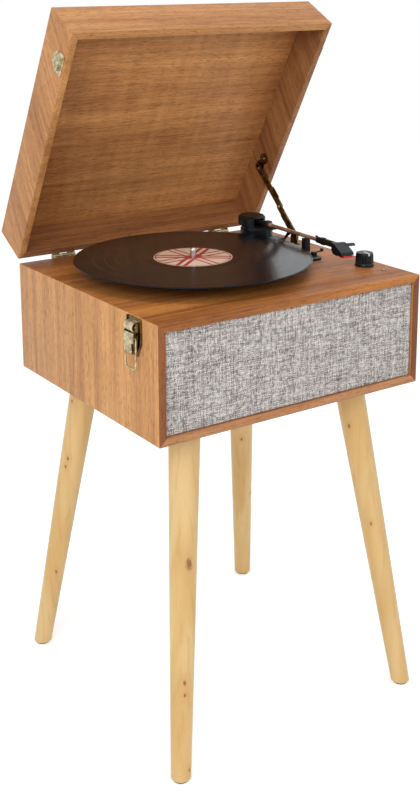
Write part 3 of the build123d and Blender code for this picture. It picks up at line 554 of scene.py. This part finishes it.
def mitred(halfA, halfB, profile, soft):
    # a is across the board, measured inwards; at each end the outer corner follows a sphere-like arc of radius soft
    profile = np.asarray(profile, float)
    d, h = profile[:, 0], profile[:, 1]
    arc = np.maximum(soft - d, 0)
    turn = np.linspace(math.pi / 4, 0, rounding["steps"] + 1)
    rows = []
    for a in turn:
        rows.append((-halfA + d + arc * (1 - math.cos(a)), -halfB + d + arc * (1 - math.sin(a))))
    for a in turn[::-1]:
        rows.append((-halfA + d + arc * (1 - math.cos(a)), halfB - d - arc * (1 - math.sin(a))))
    return surface(np.stack([np.column_stack([a, b, h]) for a, b in rows]))


def cabinetBoards():
    outer, inner = rounding["outer"], rounding["inner"]
    profile = softened([(0, -halfDepth), (board, -halfDepth), (board, halfDepth), (0, halfDepth)],
                       [outer, inner, inner, outer], 3)
    height = deckTop - floorZ
    centre = (0, middleY, (deckTop + floorZ) / 2)
    # in the frame's plane: a along X and b along Z for the sides, a along Z and b along X for deck and floor
    side = mitred(halfWidth, height / 2, profile, outer)
    flat = mitred(height / 2, halfWidth, profile, outer)
    boards = {
        "side_panel_left": (moved(side, centre, *layY),
                            veneerMaterial("sideLeft", uprightZ, (3.1, 1.27, 0.4), True, bands=1.1,
                                           light=(238, 178, 114), dark=(178, 120, 72))),
        "side_panel_right": (moved(side, centre, (-1, 0, 0), (0, 0, 1), (0, 1, 0)),
                             veneerMaterial("sideRight", uprightZ, (1.4, 0.2, 0.9), True)),
        "deck_panel": (moved(flat, centre, (0, 0, -1), (1, 0, 0), (0, 1, 0)),
                       veneerMaterial("deck", acrossX, (0.6, 0.35, 0.1), light=(206, 134, 68), dark=(132, 74, 32),
                                      pore=(84, 44, 20), bands=1.9)),
        "bottom_panel": (moved(flat, centre, (0, 0, 1), (1, 0, 0), (0, 1, 0)),
                         veneerMaterial("floorBoard", acrossX, (2.2, 0.9, 0.3), light=(214, 156, 110))),
    }
    for node, (part, look) in boards.items():
        piece(node + "_veneered", [part], [look], "cabinet", [node], weld=True)


lid = {"gap": 0.001, "height": 0.0576}


def frameOutline(halfA, halfB, drawnIn, radius, steps=5):
    # rectangle drawn in evenly on all sides; its corner radius shrinks with it
    a, b = halfA - drawnIn, halfB - drawnIn
    return softened([(-a, -b), (a, -b), (a, b), (-a, b)], max(radius - drawnIn, 2e-5), steps)


def lidBoards():
    rim = deckTop + lid["gap"]
    top = rim + lid["height"]
    outer, inner = rounding["outer"], rounding["inner"]
    turn = np.linspace(0, math.pi / 4, 4)
    arc = np.column_stack([outer * (1 - np.cos(turn)), top - outer * (1 - np.sin(turn))])
    foot = softened([(0, rim + 0.02), (0, rim), (board, rim), (board, top - board)], [0, outer, inner, 0], 3, False)
    wall = np.concatenate([foot[1:], arc[::-1]])
    roofRings = [(outer, top)] + [(outer * (1 - math.sin(a)), top - outer * (1 - math.cos(a))) for a in turn[1:]]
    roofRings.append((board, top - board))
    roof = surface(np.stack([np.column_stack([frameOutline(halfWidth, halfDepth, d, outer), np.full(24, h)])
                             for d, h in roofRings]))
    centre = (0, middleY, 0)
    side = mitred(halfWidth, halfDepth, wall, outer)
    end = mitred(halfDepth, halfWidth, wall, outer)
    inside = {"light": (234, 168, 104), "dark": (158, 100, 56), "pore": (104, 60, 34)}
    # painted shade: a darker copy of the lid veneer for the right and back walls, which stand in the open lid's shade
    paintedShadeVeneer = {"light": (184, 129, 80), "dark": (125, 78, 46), "pore": (84, 48, 28)}
    boards = {
        "lid_top": (moved(roof, centre), veneerMaterial("lidTop", acrossX, (1.9, 0.55, 0.2), ripple=0.5, bands=1.7,
                                                         streaks=1.1, **inside)),
        "lid_left": (moved(side, centre), veneerMaterial("lidLeft", alongLid, (0.3, 0.1, 0.7))),
        "lid_right": (moved(side, centre, (-1, 0, 0)),
                      veneerMaterial("lidRight", alongLid, (0.9, 0.4, 0.2), **paintedShadeVeneer)),
        "lid_front": (moved(end, centre, (0, 1, 0), (1, 0, 0)), veneerMaterial("lidFront", acrossX, (2.7, 0.1, 0.5))),
        "lid_back": (moved(end, centre, (0, -1, 0), (1, 0, 0)), veneerMaterial("lidBack", acrossX, (0.2, 0.8, 0.6),
                                                                               **paintedShadeVeneer)),
    }
    for node, (part, look) in boards.items():
        piece(node + "_veneered", opened([part]), [look], "lid", [node], weld=True)


def grilleCloth():
    # front face is a grid with a faint crown at its edge; the border turns back over the board by a quarter round
    low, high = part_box("grille_cloth")
    gap, crown, depth = cloth["inset"], cloth["crown"], cloth["depth"]
    halfX, halfZ = (high.x - low.x) / 2 - gap, (high.z - low.z) / 2 - gap
    centre = np.array([(low.x + high.x) / 2, low.y, (low.z + high.z) / 2])
    turn = np.linspace(0, math.pi / 2, 6)
    rings = [(0, depth)] + [(crown * (1 - math.cos(a)), crown * (1 - math.sin(a))) for a in turn]
    points = []
    for drawnIn, y in rings:
        outline = frameOutline(halfX, halfZ, drawnIn, cloth["corner"])
        points.append(np.column_stack([outline[:, 0], np.full(len(outline), y), outline[:, 1]]))
    part = surface(centre + np.stack(points), caps=False)
    front = list(range((len(rings) - 1) * len(points[0]), len(rings) * len(points[0])))
    made = piece("grille_cloth_stretched", [(part[0], part[1] + [front], 0)], [grilleMaterial()], "cabinet",
                 ["grille_cloth"], sharp=60)
    shell = made.modifiers.new("thickness", "SOLIDIFY")
    shell.thickness, shell.offset = cloth["thick"], -1


# Record, label, mat and spindle

disk = {
    "rough": 0.17, "anisotropy": 0.8, "coat": 0.09, "coatRough": 0.03, "specular": 0.17, "tint": (0.70, 0.9, 1.0, 1),
    "gaps": (0.070, 0.0835, 0.0975, 0.1115, 0.1265), "grooveStart": 0.1455, "grooveEnd": 0.0605,
    "cream": (246, 218, 196), "ink": (168, 30, 22), "stripe": 0.0046,
}
spinX, spinY = joints["platter_spin"]["pos_m"][:2]


def recordMaterial():
    def build(g):
        spot = g.vector("SUBTRACT", g.place(), (spinX, spinY, 0))
        flat = g.vector("MULTIPLY", spot, (1, 1, 0))
        radius = g.vector("LENGTH", flat)
        lanes = g.noise(g.add("ShaderNodeCombineXYZ", {0: g.math("MULTIPLY", radius, 1400)}).outputs[0], 1, 3, 0.7)
        gaps = 0.0
        for place in disk["gaps"]:
            gaps = g.math("ADD", gaps, g.span(g.math("ABSOLUTE", g.math("SUBTRACT", radius, place)), 0.0007, 0.0003))
        rough = g.math("MULTIPLY_ADD", lanes, 0.16, disk["rough"] - 0.08)
        rough = g.math("SUBTRACT", rough, g.math("MULTIPLY", gaps, 0.14))
        ribs = g.math("SINE", g.math("MULTIPLY", radius, 2 * math.pi / 0.00022))
        # the tangent runs outwards from the centre, so highlights stretch across the grooves
        vinyl = g.mix(lanes, paint(8, 12, 17), paint(20, 28, 36))
        # painted sheen: the smooth track gaps are drawn light grey in the base colour
        return {"Roughness": rough, "Tangent": flat, "Base_Color": g.mix(gaps, vinyl, paint(62, 64, 68)),
                "Normal": bumped(g, ribs, 0.000004, 0.4)}

    return material("recordVinyl", build, Anisotropic=disk["anisotropy"], Coat_Weight=disk["coat"],
                    Coat_Roughness=disk["coatRough"], Specular_IOR_Level=disk["specular"],
                    Specular_Tint=disk["tint"], IOR=1.53)


def labelMaterial():
    def build(g):
        spot = g.vector("SUBTRACT", g.place(), (spinX, spinY, 0))
        parts = g.split(spot)
        stripes = 0.0
        for angle, wide, gap in ((38, 1.0, 0.55), (142, 1.0, 0.55), (2, 0.75, 0.9), (92, 0.6, 0.7)):
            c, s = math.cos(math.radians(angle)), math.sin(math.radians(angle))
            off = g.math("ABSOLUTE", g.math("SUBTRACT", g.math("MULTIPLY", parts[1], c),
                                            g.math("MULTIPLY", parts[0], s)))
            middle = disk["stripe"] * (gap + wide / 2)
            side = g.math("ABSOLUTE", g.math("SUBTRACT", off, middle))
            line = g.span(side, disk["stripe"] * wide * 0.60, disk["stripe"] * wide * 0.45)
            stripes = g.math("MAXIMUM", stripes, line)
        radius = g.vector("LENGTH", g.vector("MULTIPLY", spot, (1, 1, 0)))
        hoop = g.span(g.math("ABSOLUTE", g.math("SUBTRACT", radius, 0.0475)), 0.0009, 0.0005)
        ink = g.math("MULTIPLY", g.math("MAXIMUM", stripes, hoop), g.span(radius, 0.0494, 0.0490))
        fade = g.math("MULTIPLY_ADD", g.noise(g.place(), 260, 3, 0.6), 0.2, 0.84)
        paper = g.mix(g.noise(g.place(), 900, 3, 0.6), paint(214, 186, 168), paint(*disk["cream"]))
        return {"Base_Color": g.mix(g.math("MULTIPLY", ink, fade), paper, paint(*disk["ink"]))}

    return material("labelPaper", build, Roughness=0.45, Specular_IOR_Level=0.35)


def turntable():
    low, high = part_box("record")
    top, under = high.z, low.z
    reach = (high.x - low.x) / 2
    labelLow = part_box("record_label")[0].z
    hole, label = 0.00365, 0.0501
    playing = top - 0.00015
    # closed section from the hole's foot outwards under the disc, round the rim and back over the playing surface
    section = [(hole, under), (0.058, under), (0.060, under + 0.0002), (disk["grooveStart"], under + 0.0002),
               (reach - 0.0012, under), (reach - 0.0004, under + 0.0003), (reach, under + 0.0009),
               (reach - 0.0004, top - 0.0003), (reach - 0.0012, top), (reach - 0.0030, top),
               (disk["grooveStart"], playing), (disk["grooveStart"] - 0.0006, playing),
               (disk["grooveEnd"] + 0.0006, playing), (disk["grooveEnd"], playing), (0.0590, top), (0.0530, top),
               (label, top), (label, labelLow), (hole, labelLow)]

    def spun(name, profile, sides, look, node, closed=True, sharp=38):
        part = moved(turned(profile, sides, closed), (spinX, spinY, 0))
        piece(name, [part], [look], "turntable", [node], sharp)

    spun("record_grooved", section, 256, recordMaterial(), "record", sharp=30)
    paper = [(hole, labelLow + 0.00002), (0.0499, labelLow + 0.00002), (0.0499, top - 0.00004), (0.0497, top),
             (0.0432, top), (0.0430, top - 0.00006), (0.0426, top - 0.00006), (0.0424, top), (hole, top)]
    spun("record_label_printed", paper, 192, labelMaterial(), "record_label")
    spindleLow, spindleHigh = (corner.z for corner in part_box("spindle"))
    r = 0.00355
    pin = softened([(1e-5, spindleLow), (r, spindleLow), (r, spindleHigh - 0.0035), (r * 0.86, spindleHigh - 0.0012),
                    (r * 0.45, spindleHigh), (1e-5, spindleHigh)], [0, 0.0003, 0.004, 0.0015, 0.001, 0], 5, False)
    spun("spindle_turned", pin, 48, steel, "spindle", closed=False)
    matLow, matHigh = (corner.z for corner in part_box("slip_mat"))
    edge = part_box("slip_mat")[1].x - spinX
    mat = softened([(r + 0.0001, matLow), (edge, matLow), (edge, matHigh), (r + 0.0001, matHigh)],
                   [0, 0.0006, 0.0006, 0], 3)
    spun("slip_mat_felt", mat, 160, felt, "slip_mat")
    print("turntable made")


# Volume knob and lamp

knob = {"ribs": 20, "top": 0.01085, "waist": 0.0113, "skirt": 0.0124, "rib": 0.0006, "pointer": 0.0022, "turn": -101}


def controls():
    low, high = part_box("volume_knob")
    x, y = joints["volume_knob_turn"]["pos_m"][:2]
    foot, top = deckTop + 0.0005, high.z - 0.0002
    profile = softened([(0.004, foot), (knob["skirt"], foot), (knob["skirt"], foot + 0.0016),
                        (knob["waist"], foot + 0.0042), (knob["top"], top), (1e-5, top)],
                       [0, 0.0002, 0.0004, 0.002, 0.0008, 0], 5, False)
    levels = np.concatenate([np.linspace(a, b, 4, endpoint=False) for a, b in zip(profile[:-1], profile[1:])]
                            + [profile[-1:]])
    sides = knob["ribs"] * 6
    turn = fullTurn(sides)
    # the ribs rise out of the skirt and die away below the top
    share = np.clip((levels[:, 1] - foot - 0.0035) / 0.001, 0, 1)
    share *= np.clip((top - 0.0006 - levels[:, 1]) / 0.0008, 0, 1)
    wave = np.abs(np.sin(turn * knob["ribs"] / 2)) ** 0.7 - 0.6
    radius = levels[:, :1] + share[:, None] * knob["rib"] * wave[None] * 1.6
    grid = np.stack([radius * np.cos(turn), radius * np.sin(turn), np.repeat(levels[:, 1:], sides, 1)], -1)
    body = moved(surface(grid), (x, y, 0))
    shaft = moved(bar(0.003, low.z, foot + 0.001), (x, y, 0))
    wide = knob["pointer"] / 2
    pointer = [roundBox(-0.0020, knob["top"] - 0.0002, -wide, wide, top - 0.0003, top + 0.0002, 0.0001),
               roundBox(knob["top"] - 0.0012, knob["top"] + 0.0006, -wide, wide, top - 0.0030, top + 0.0002, 0.0001)]
    pointer = [moved(turnedBy(part, math.radians(knob["turn"]), (0, 0, 1)), (x, y, 0)) for part in pointer]
    piece("volume_knob_ribbed", [body, shaft] + pointer, [plastic, white], "volume_knob",
          ["volume_knob"], sharp=28)
    lampLow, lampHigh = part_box("power_lamp")
    centre = ((lampLow.x + lampHigh.x) / 2, (lampLow.y + lampHigh.y) / 2, 0)
    dome = [(1e-5, lampLow.z), (0.0016, lampLow.z), (0.0016, lampHigh.z - 0.0004)]
    dome += [(0.0016 * math.cos(a), lampHigh.z - 0.0004 + 0.0006 * math.sin(a)) for a in np.linspace(0.2, 1.55, 8)]
    bezel = softened([(0.0017, deckTop - 0.001), (0.0029, deckTop - 0.001), (0.0029, deckTop + 0.0006),
                      (0.0017, deckTop + 0.0006)], 0.0002, 3)
    piece("power_lamp_domed", [moved(turned(dome, 32), centre), moved(turned(bezel, 40, True, 1), centre)],
          [lens, plastic], "cabinet", ["power_lamp"])
    print("controls made")


# Toggle latches: places are (distance out, height) from the deck's edge, as on the left side

latch = {"middle": -0.123 - shiftY, "half": 0.015, "low": -0.046, "top": -0.0012, "lever": (0.0042, -0.011),
         "bail": (0.0066, -0.023), "leverHalf": 0.0104, "bailHalf": 0.012, "wire": 0.00105, "drop": 0.0365,
         "edge": 0.00022, "sheet": 0.0012, "hood": (0.0059, 0.0048), "hoodHalf": 0.0088, "tailHalf": 0.0066}


def sheetSide(profile, y0, y1, skin=0):
    # a flat sheet cut to an outline of (distance out, height) points, standing along Y between two depths
    outline = np.array([(-halfWidth - d, deckTop + z) for d, z in profile])
    return moved(plate(softened(outline, 0.0003, 2), y0, y1, latch["edge"], skin=skin), (0, 0, 0), *layY)


def pinSide(point, y0, y1, radius):
    part = bar(radius, y0, y1, min(radius * 0.25, 0.0003), 28)
    return moved(part, (-halfWidth - point[0], 0, deckTop + point[1]), *layY)


def screwHead(y, z, radius, height):
    # domed head as a quarter of a flat ellipse turned round, with a cross of two dark bars sunk in its crown, painted
    # shade where the cross slot would be
    turn = np.linspace(0, math.pi / 2, 7)
    dome = [(radius * math.cos(a) + 1e-5, height * (0.25 + 0.75 * math.sin(a))) for a in turn]
    parts = [turned([(1e-5, 0), (radius, 0)] + dome, 28)]
    for along, across in ((0.55, 0.12), (0.12, 0.55)):
        parts.append(roundBox(-radius * along, radius * along, -radius * across, radius * across, height * 0.72,
                              height * 1.02, 0.00006))
    place = (-halfWidth - latch["sheet"], latch["middle"] + y, deckTop + z)
    return [moved(part, place, (0, -1, 0), (0, 0, 1), (-1, 0, 0)) for part in parts]


def facePlate(outline, out, thick):
    # flat plate of (depth from the latch's middle, height) points, its back at a distance out from the side
    part = plate(softened([(latch["middle"] + y, z) for y, z in outline], 0.0012, 4), 0, thick, latch["edge"])
    return moved(part, (-halfWidth - out, 0, deckTop), *outLeft)


def latchParts():
    # base: a tapering tray with low rims and two lugs; lever: split outer face, tail and dark sides, partly darker
    # patina and partly painted shade; bail: one wire
    middle, half, side = latch["middle"], latch["half"], latch["leverHalf"]
    a0, a1 = middle - side, middle + side
    low, top, thick = latch["low"], latch["top"], latch["sheet"]
    neck, waist = 0.0062, -0.030
    outline = [(-half, top), (half, top), (half, waist), (neck, low), (-neck, low), (-half, waist)]
    base = [facePlate(outline, 0, thick)]
    for end in (-1, 1):
        rim = [(end * half, top), (end * (half - 0.0013), top), (end * (half - 0.0013), waist),
               (end * (neck - 0.0013), low), (end * neck, low), (end * half, waist)]
        base.append(facePlate(rim, 0.0010, 0.0016))
        lug = middle + end * (side + 0.0009)
        base.append(sheetSide([(0.0002, -0.0045), (0.0060, -0.0065), (0.0068, -0.0150), (0.0002, -0.0200)],
                              lug - 0.0005, lug + 0.0005))
        base += screwHead(end * (half - 0.0036), -0.0245, 0.0019, 0.0008)
    pivot = latch["lever"]
    base.append(pinSide(pivot, a0 - 0.0018, a1 + 0.0018, 0.0013))
    # rolled hood over the pivot, between the lever's sides: two arcs about the pivot's axis, so the lever clears it
    turn = np.radians(np.linspace(-62, 78, 12))
    outer, inner = ([(pivot[0] + r * math.cos(a), pivot[1] + r * math.sin(a)) for a in turn] for r in latch["hood"])
    hood = outer + [(0.0004, -0.0041), (0.0004, -0.0053)] + inner[::-1]
    base.append(sheetSide(hood, middle - latch["hoodHalf"], middle + latch["hoodHalf"], skin=2))
    face = [(0.0082, -0.0170), (0.0094, -0.0170), (0.0103, -0.0285), (0.0091, -0.0285)]
    tail = [(0.0091, -0.0279), (0.0103, -0.0279), (0.0094, -0.0405), (0.0082, -0.0405)]
    lever = [sheetSide(face, a0, a1), sheetSide(tail, middle - latch["tailHalf"], middle + latch["tailHalf"])]
    ear = [(0.0056, -0.0088), (0.0068, -0.0125), (0.0086, -0.0172), (0.0096, -0.0283), (0.0060, -0.0275),
           (0.0022, -0.0135), (0.0022, -0.0090)]
    # the lever's sides in dark brass: partly a darker patina, partly painted shade
    for start in (a0, a1 - thick):
        lever.append(sheetSide(ear, start, start + thick, skin=1))
        lever.append(pinSide(pivot, start, start + thick, 0.0024))
    x, z = -halfWidth - latch["bail"][0], deckTop + latch["bail"][1]
    eye, wide, drop = side - 0.0026, latch["bailHalf"], latch["drop"]
    corners = [(-eye, 0), (-wide, 0), (-wide * 0.9, -drop), (wide * 0.9, -drop), (wide, 0), (eye, 0)]
    line = softened(corners, [0, 0.0014, 0.0044, 0.0044, 0.0014, 0], 8, False)
    path = np.column_stack([np.full(len(line), x), middle + line[:, 0], z + line[:, 1]])
    bail = [tube(path, (1, 0, 0), latch["wire"], 18)]
    return base, lever, bail


def latches():
    base, lever, bail = latchParts()
    for side, turn in (("left", lambda part: part), ("right", flipped)):
        piece("latch_lever_" + side + "_pressed", [turn(p) for p in lever], [brass, darkBrass], "latch_lever_" + side,
              ["latch_lever_" + side])
        piece("latch_bail_" + side + "_wire", [turn(p) for p in bail], [brass], "latch_bail_" + side,
              ["latch_bail_" + side], sharp=60)
    # the screws' cross bars take the black plastic: painted shade in the slots
    piece("latch_bases_pressed", base + [flipped(p) for p in base], [darkBrass, plastic, brass], "cabinet",
          ["latch_bases"])
    # catch on the lid's side: plate with clipped corners, a lip bent out for the bail, and two screws
    outline = [(-0.014, 0.003), (0.014, 0.003), (0.014, 0.020), (0.006, 0.028), (-0.006, 0.028), (-0.014, 0.020)]
    lip = [(0.0002, 0.007), (0.006, 0.007), (0.006, 0.014), (0.0048, 0.013), (0.0048, 0.0082), (0.0002, 0.0082)]
    catch = [facePlate(outline, 0, latch["sheet"]), sheetSide(lip, latch["middle"] - 0.007, latch["middle"] + 0.007)]
    for along in (-0.008, 0.008):
        catch += screwHead(along, 0.018, 0.0025, 0.0011)
    # the catch screws' cross bars take the dark brass: painted shade in the slots
    piece("catch_plates_pressed", opened(catch + [flipped(p) for p in catch]), [brass, darkBrass], "lid",
          ["catch_plates"])
    print("latches made")


# Folding stay: two links; the lower a channel, a web with two low flanges, the upper a flat bar with a tab

stay = {"foot": (0.0575 - shiftY, 0.0085), "head": (0.1499 - shiftY, 0.096), "lower": 0.053, "wide": 0.0105,
        "thick": 0.0015, "lowerX": 0.176, "upperX": 0.178, "tab": (0.014, 0.028, 0.0036), "rib": (0.008, 0.012)}


def linkPlate(start, end, x, width, thick):
    # flat bar with half-round ends between two (y, height) points
    along = (end - start) / np.linalg.norm(end - start)
    aside = np.array([-along[1], along[0]])
    turn = np.linspace(-math.pi / 2, math.pi / 2, 13)
    r = width / 2
    tip = [end + r * (math.cos(a) * along + math.sin(a) * aside) for a in turn]
    tail = [start - r * (math.cos(a) * along + math.sin(a) * aside) for a in turn]
    outline = np.array(tip + tail) + [0, deckTop]
    return moved(plate(outline, x, x + thick, 0.0003), (0, 0, 0), *layX)


def rivet(point, x0, x1, radius):
    # round head with softened ends in the piece's second material, lying along X
    return moved(bar(radius, x0, x1, radius * 0.3, 28, 1), (0, point[0], deckTop + point[1]), *layX)


def stayLinks():
    foot, head = np.array(stay["foot"]), np.array(stay["head"])
    along = (head - foot) / np.linalg.norm(head - foot)
    knee = foot + along * stay["lower"]
    aside = np.array([-along[1], along[0]])
    wide, thick, low, up = stay["wide"], stay["thick"], stay["lowerX"], stay["upperX"]

    # web, knee rivet, and a low rib along each edge, towards the deck's middle
    lower = [linkPlate(foot, knee, low, wide, thick), rivet(knee, low - 0.0012, low + 0.0001, 0.0026)]
    for edge in (1, -1):
        off = aside * edge * (wide / 2 - 0.0005)
        lower.append(linkPlate(foot + along * stay["rib"][0] + off, knee - along * stay["rib"][1] + off, low - 0.0011,
                               0.001, 0.0013))
    upper = [linkPlate(knee, head, up, wide, thick), rivet(knee, up + thick - 0.0001, up + thick + 0.0012, 0.0026)]
    start, end, aslant = stay["tab"]
    upper.append(linkPlate(knee + along * start + aside * aslant, knee + along * end + aside * aslant, up + 0.0002,
                           wide * 0.7, 0.0011))
    upper.append(rivet(head - along * 0.004, up - 0.0010, up + 0.0001, 0.0016))
    piece("stay_lower_channel", lower, [darkBrass, brass], "stay_lower", ["stay_lower_link"])
    piece("stay_upper_bar", upper, [darkBrass, brass], "stay_upper", ["stay_upper_link"])
    print("stay made")


# Tonearm: places along the tube are distances from the turret's middle

arm = {"block": (0.0225, 0.0315), "blockHalf": 0.0048, "tube": 0.00265, "sleeve": (0.0310, 0.0370),
       "sleeveWall": 0.0007, "stub": 0.0032, "cue": 0.0017}


def tonearmParts():
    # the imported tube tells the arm's direction: from the turret's axis to the middle of its far end
    pivot = np.array([*joints["tonearm_swing"]["pos_m"][:2], 0])
    points = nodePoints("arm_tube")
    away = np.linalg.norm((points - pivot)[:, :2], axis=1)
    tip = points[away > away.max() - 0.0015]
    tip = (tip.min(0) + tip.max(0)) / 2
    axis = np.array([pivot[0], pivot[1], tip[2]])
    ahead = (tip - axis) / np.linalg.norm(tip - axis)
    aside = np.cross((0, 0, 1), ahead)
    length = np.linalg.norm(tip - axis)

    near, far = arm["block"]
    half = arm["blockHalf"]
    parts = [bar(arm["tube"], near + 0.001, length, sides=28),
             roundBox(-half, half, -half, half, near, far, 0.0006, 0.0012),
             bar(arm["tube"] + arm["sleeveWall"], *arm["sleeve"], sides=28),
             bar(arm["stub"], 0.004, near + 0.001, sides=28, skin=1)]
    piece("arm_tube_bronze", [moved(part, axis, (0, 0, 1), aside, ahead) for part in parts], [bronze, plastic],
          "tonearm", ["arm_tube"])
    # thick finger bar laid over the cueing lever, from its pivot to its farthest point
    points = nodePoints("cue_lever")
    hub = np.array(joints["cue_lever_turn"]["pos_m"]) if "cue_lever_turn" in joints else points.mean(0)
    grip = points[np.argmax(np.linalg.norm(points - hub, axis=1))]
    run = (grip - hub) / np.linalg.norm(grip - hub)
    level = np.cross(run, (1, 0, 0))
    path = hub + np.outer(np.linspace(0, 1, 12), grip - run * arm["cue"] - hub)
    piece("cue_lever_grip", [tube(path, level / np.linalg.norm(level), arm["cue"], 20)], [plastic], "cue_lever")
    print("tonearm made")


# Stage: floor, backdrop, light and camera

studio = {"sky": 0.62, "floor": 0.82, "floorLift": 0.50, "reach": 60, "key": 34, "fill": 9, "strip": 4.5}


def seenRays(g):
    # one for rays from the camera, straight, by a mirror or through something clear; else nought
    rays = g.add("ShaderNodeLightPath").outputs
    direct = g.math("MAXIMUM", rays["Is Camera Ray"], rays["Is Glossy Ray"])
    return g.math("MAXIMUM", direct, rays["Is Transmission Ray"])


def stage():
    world = bpy.data.worlds.new("studio")
    bpy.context.scene.world = world
    floorLook = bpy.data.materials.new("paleFloor")
    graphs = []
    for owner in (world, floorLook):
        owner.use_nodes = True
        owner.node_tree.nodes.clear()
        graphs.append(Graph(owner.node_tree))
    g, f = graphs
    strength = g.math("MULTIPLY_ADD", seenRays(g), 1.0 - studio["sky"], studio["sky"])
    back = g.add("ShaderNodeBackground", {"Color": (1, 1, 1, 1), "Strength": strength})
    g.add("ShaderNodeOutputWorld", {0: back.outputs[0]})
    lift = f.math("MULTIPLY", seenRays(f), studio["floorLift"])
    matt = f.add("ShaderNodeBsdfDiffuse", {"Color": (studio["floor"],) * 3 + (1,)})
    glow = f.add("ShaderNodeEmission", {"Color": (1, 1, 1, 1), "Strength": lift})
    both = f.add("ShaderNodeAddShader", {0: matt.outputs[0], 1: glow.outputs[0]})
    f.add("ShaderNodeOutputMaterial", {0: both.outputs[0]})
    mesh = bpy.data.meshes.new("floor")
    reach = studio["reach"]
    mesh.from_pydata([(-reach, -reach, 0), (reach, -reach, 0), (reach, reach, 0), (-reach, reach, 0)], [],
                     [(0, 1, 2, 3)])
    mesh.materials.append(floorLook)
    floor = bpy.data.objects.new("floor", mesh)
    bpy.context.scene.collection.objects.link(floor)
    for name, place, aim, size, power in (
            ("keyLamp", (-2.3, -1.7, 1.9), (0, 0, 0.5), 1.6, studio["key"]),
            ("fillLamp", (1.6, -2.6, 1.4), (0, 0, 0.5), 1.8, studio["fill"]),
            ("stripLampLeft", (-0.21, 0.09, 2.9), (0, 0, 0.5), 0.16, studio["strip"]),
            ("stripLampRight", (0.53, -0.41, 2.8), (0, 0, 0.5), 0.16, studio["strip"])):
        light = bpy.data.lights.new(name, "AREA")
        light.size, light.energy = size, power
        made = bpy.data.objects.new(name, light)
        bpy.context.scene.collection.objects.link(made)
        made.location = place
        aimed = np.array(aim) - np.array(place)
        made.rotation_mode = "QUATERNION"
        made.rotation_quaternion = Vector(aimed).to_track_quat("-Z", "Y")


view = {"place": (-0.83962, -1.23179, 0.93085), "yaw": -34.2287, "pitch": -12.5535, "roll": -0.2100,
        "lens": 53.633, "shift": (0.003579, -0.207420)}


def camera():
    # looks along yaw (from +Y towards +X where negative) and pitch, then rolls about that line
    lens = bpy.data.cameras.new("camera")
    lens.sensor_width, lens.lens = 36, view["lens"]
    lens.shift_x, lens.shift_y = view["shift"]
    lens.clip_start, lens.clip_end = 0.05, 60
    made = bpy.data.objects.new("camera", lens)
    bpy.context.scene.collection.objects.link(made)
    yaw, pitch, roll = (math.radians(view[k]) for k in ("yaw", "pitch", "roll"))
    ahead = np.array([math.sin(-yaw) * math.cos(pitch), math.cos(-yaw) * math.cos(pitch), math.sin(pitch)])
    right = np.cross(ahead, (0, 0, 1))
    right /= np.linalg.norm(right)
    up = np.cross(right, ahead)
    right, up = (math.cos(roll) * right + math.sin(roll) * up, math.cos(roll) * up - math.sin(roll) * right)
    made.matrix_world = Matrix([[*row, p] for row, p in zip(np.column_stack([right, up, -ahead]), view["place"])]
                                  + [[0, 0, 0, 1]])
    bpy.context.scene.camera = made


def dressNodes():
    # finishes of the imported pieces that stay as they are
    looks = {"fibreboard": fibreboard, "speaker_metal": platedSteel, "speaker_paper": cone,
             "glide_plastic": softPlastic, "antique_brass": brass, "steel": steel, "bearing_brass": plainBrass,
             "black_plastic": plastic, "bronze_tube": bronze, "belt_rubber": rubber, "stylus_red": red,
             "circuit_card": card, "mat_felt": felt}
    backing = veneerMaterial("backPanel", acrossX, (0.5, 0.2, 0.8))
    slots = {row["node"]: row["material_slot"] for row in frame["record"]["subparts"]}
    for name, node in frame["nodes"].items():
        look = looks.get(slots[name], backing)
        if name in ("stay_foot_bracket", "stay_lid_bracket"):
            look = darkBrass
        node.data.materials.clear()
        node.data.materials.append(look)


dressNodes()
cabinetBoards()
lidBoards()
print("boards made")
legs()
grilleCloth()
print("legs and cloth made")
turntable()
controls()
latches()
stayLinks()
tonearmParts()
stage()
camera()
bpy.context.scene.view_settings.view_transform = "Standard"
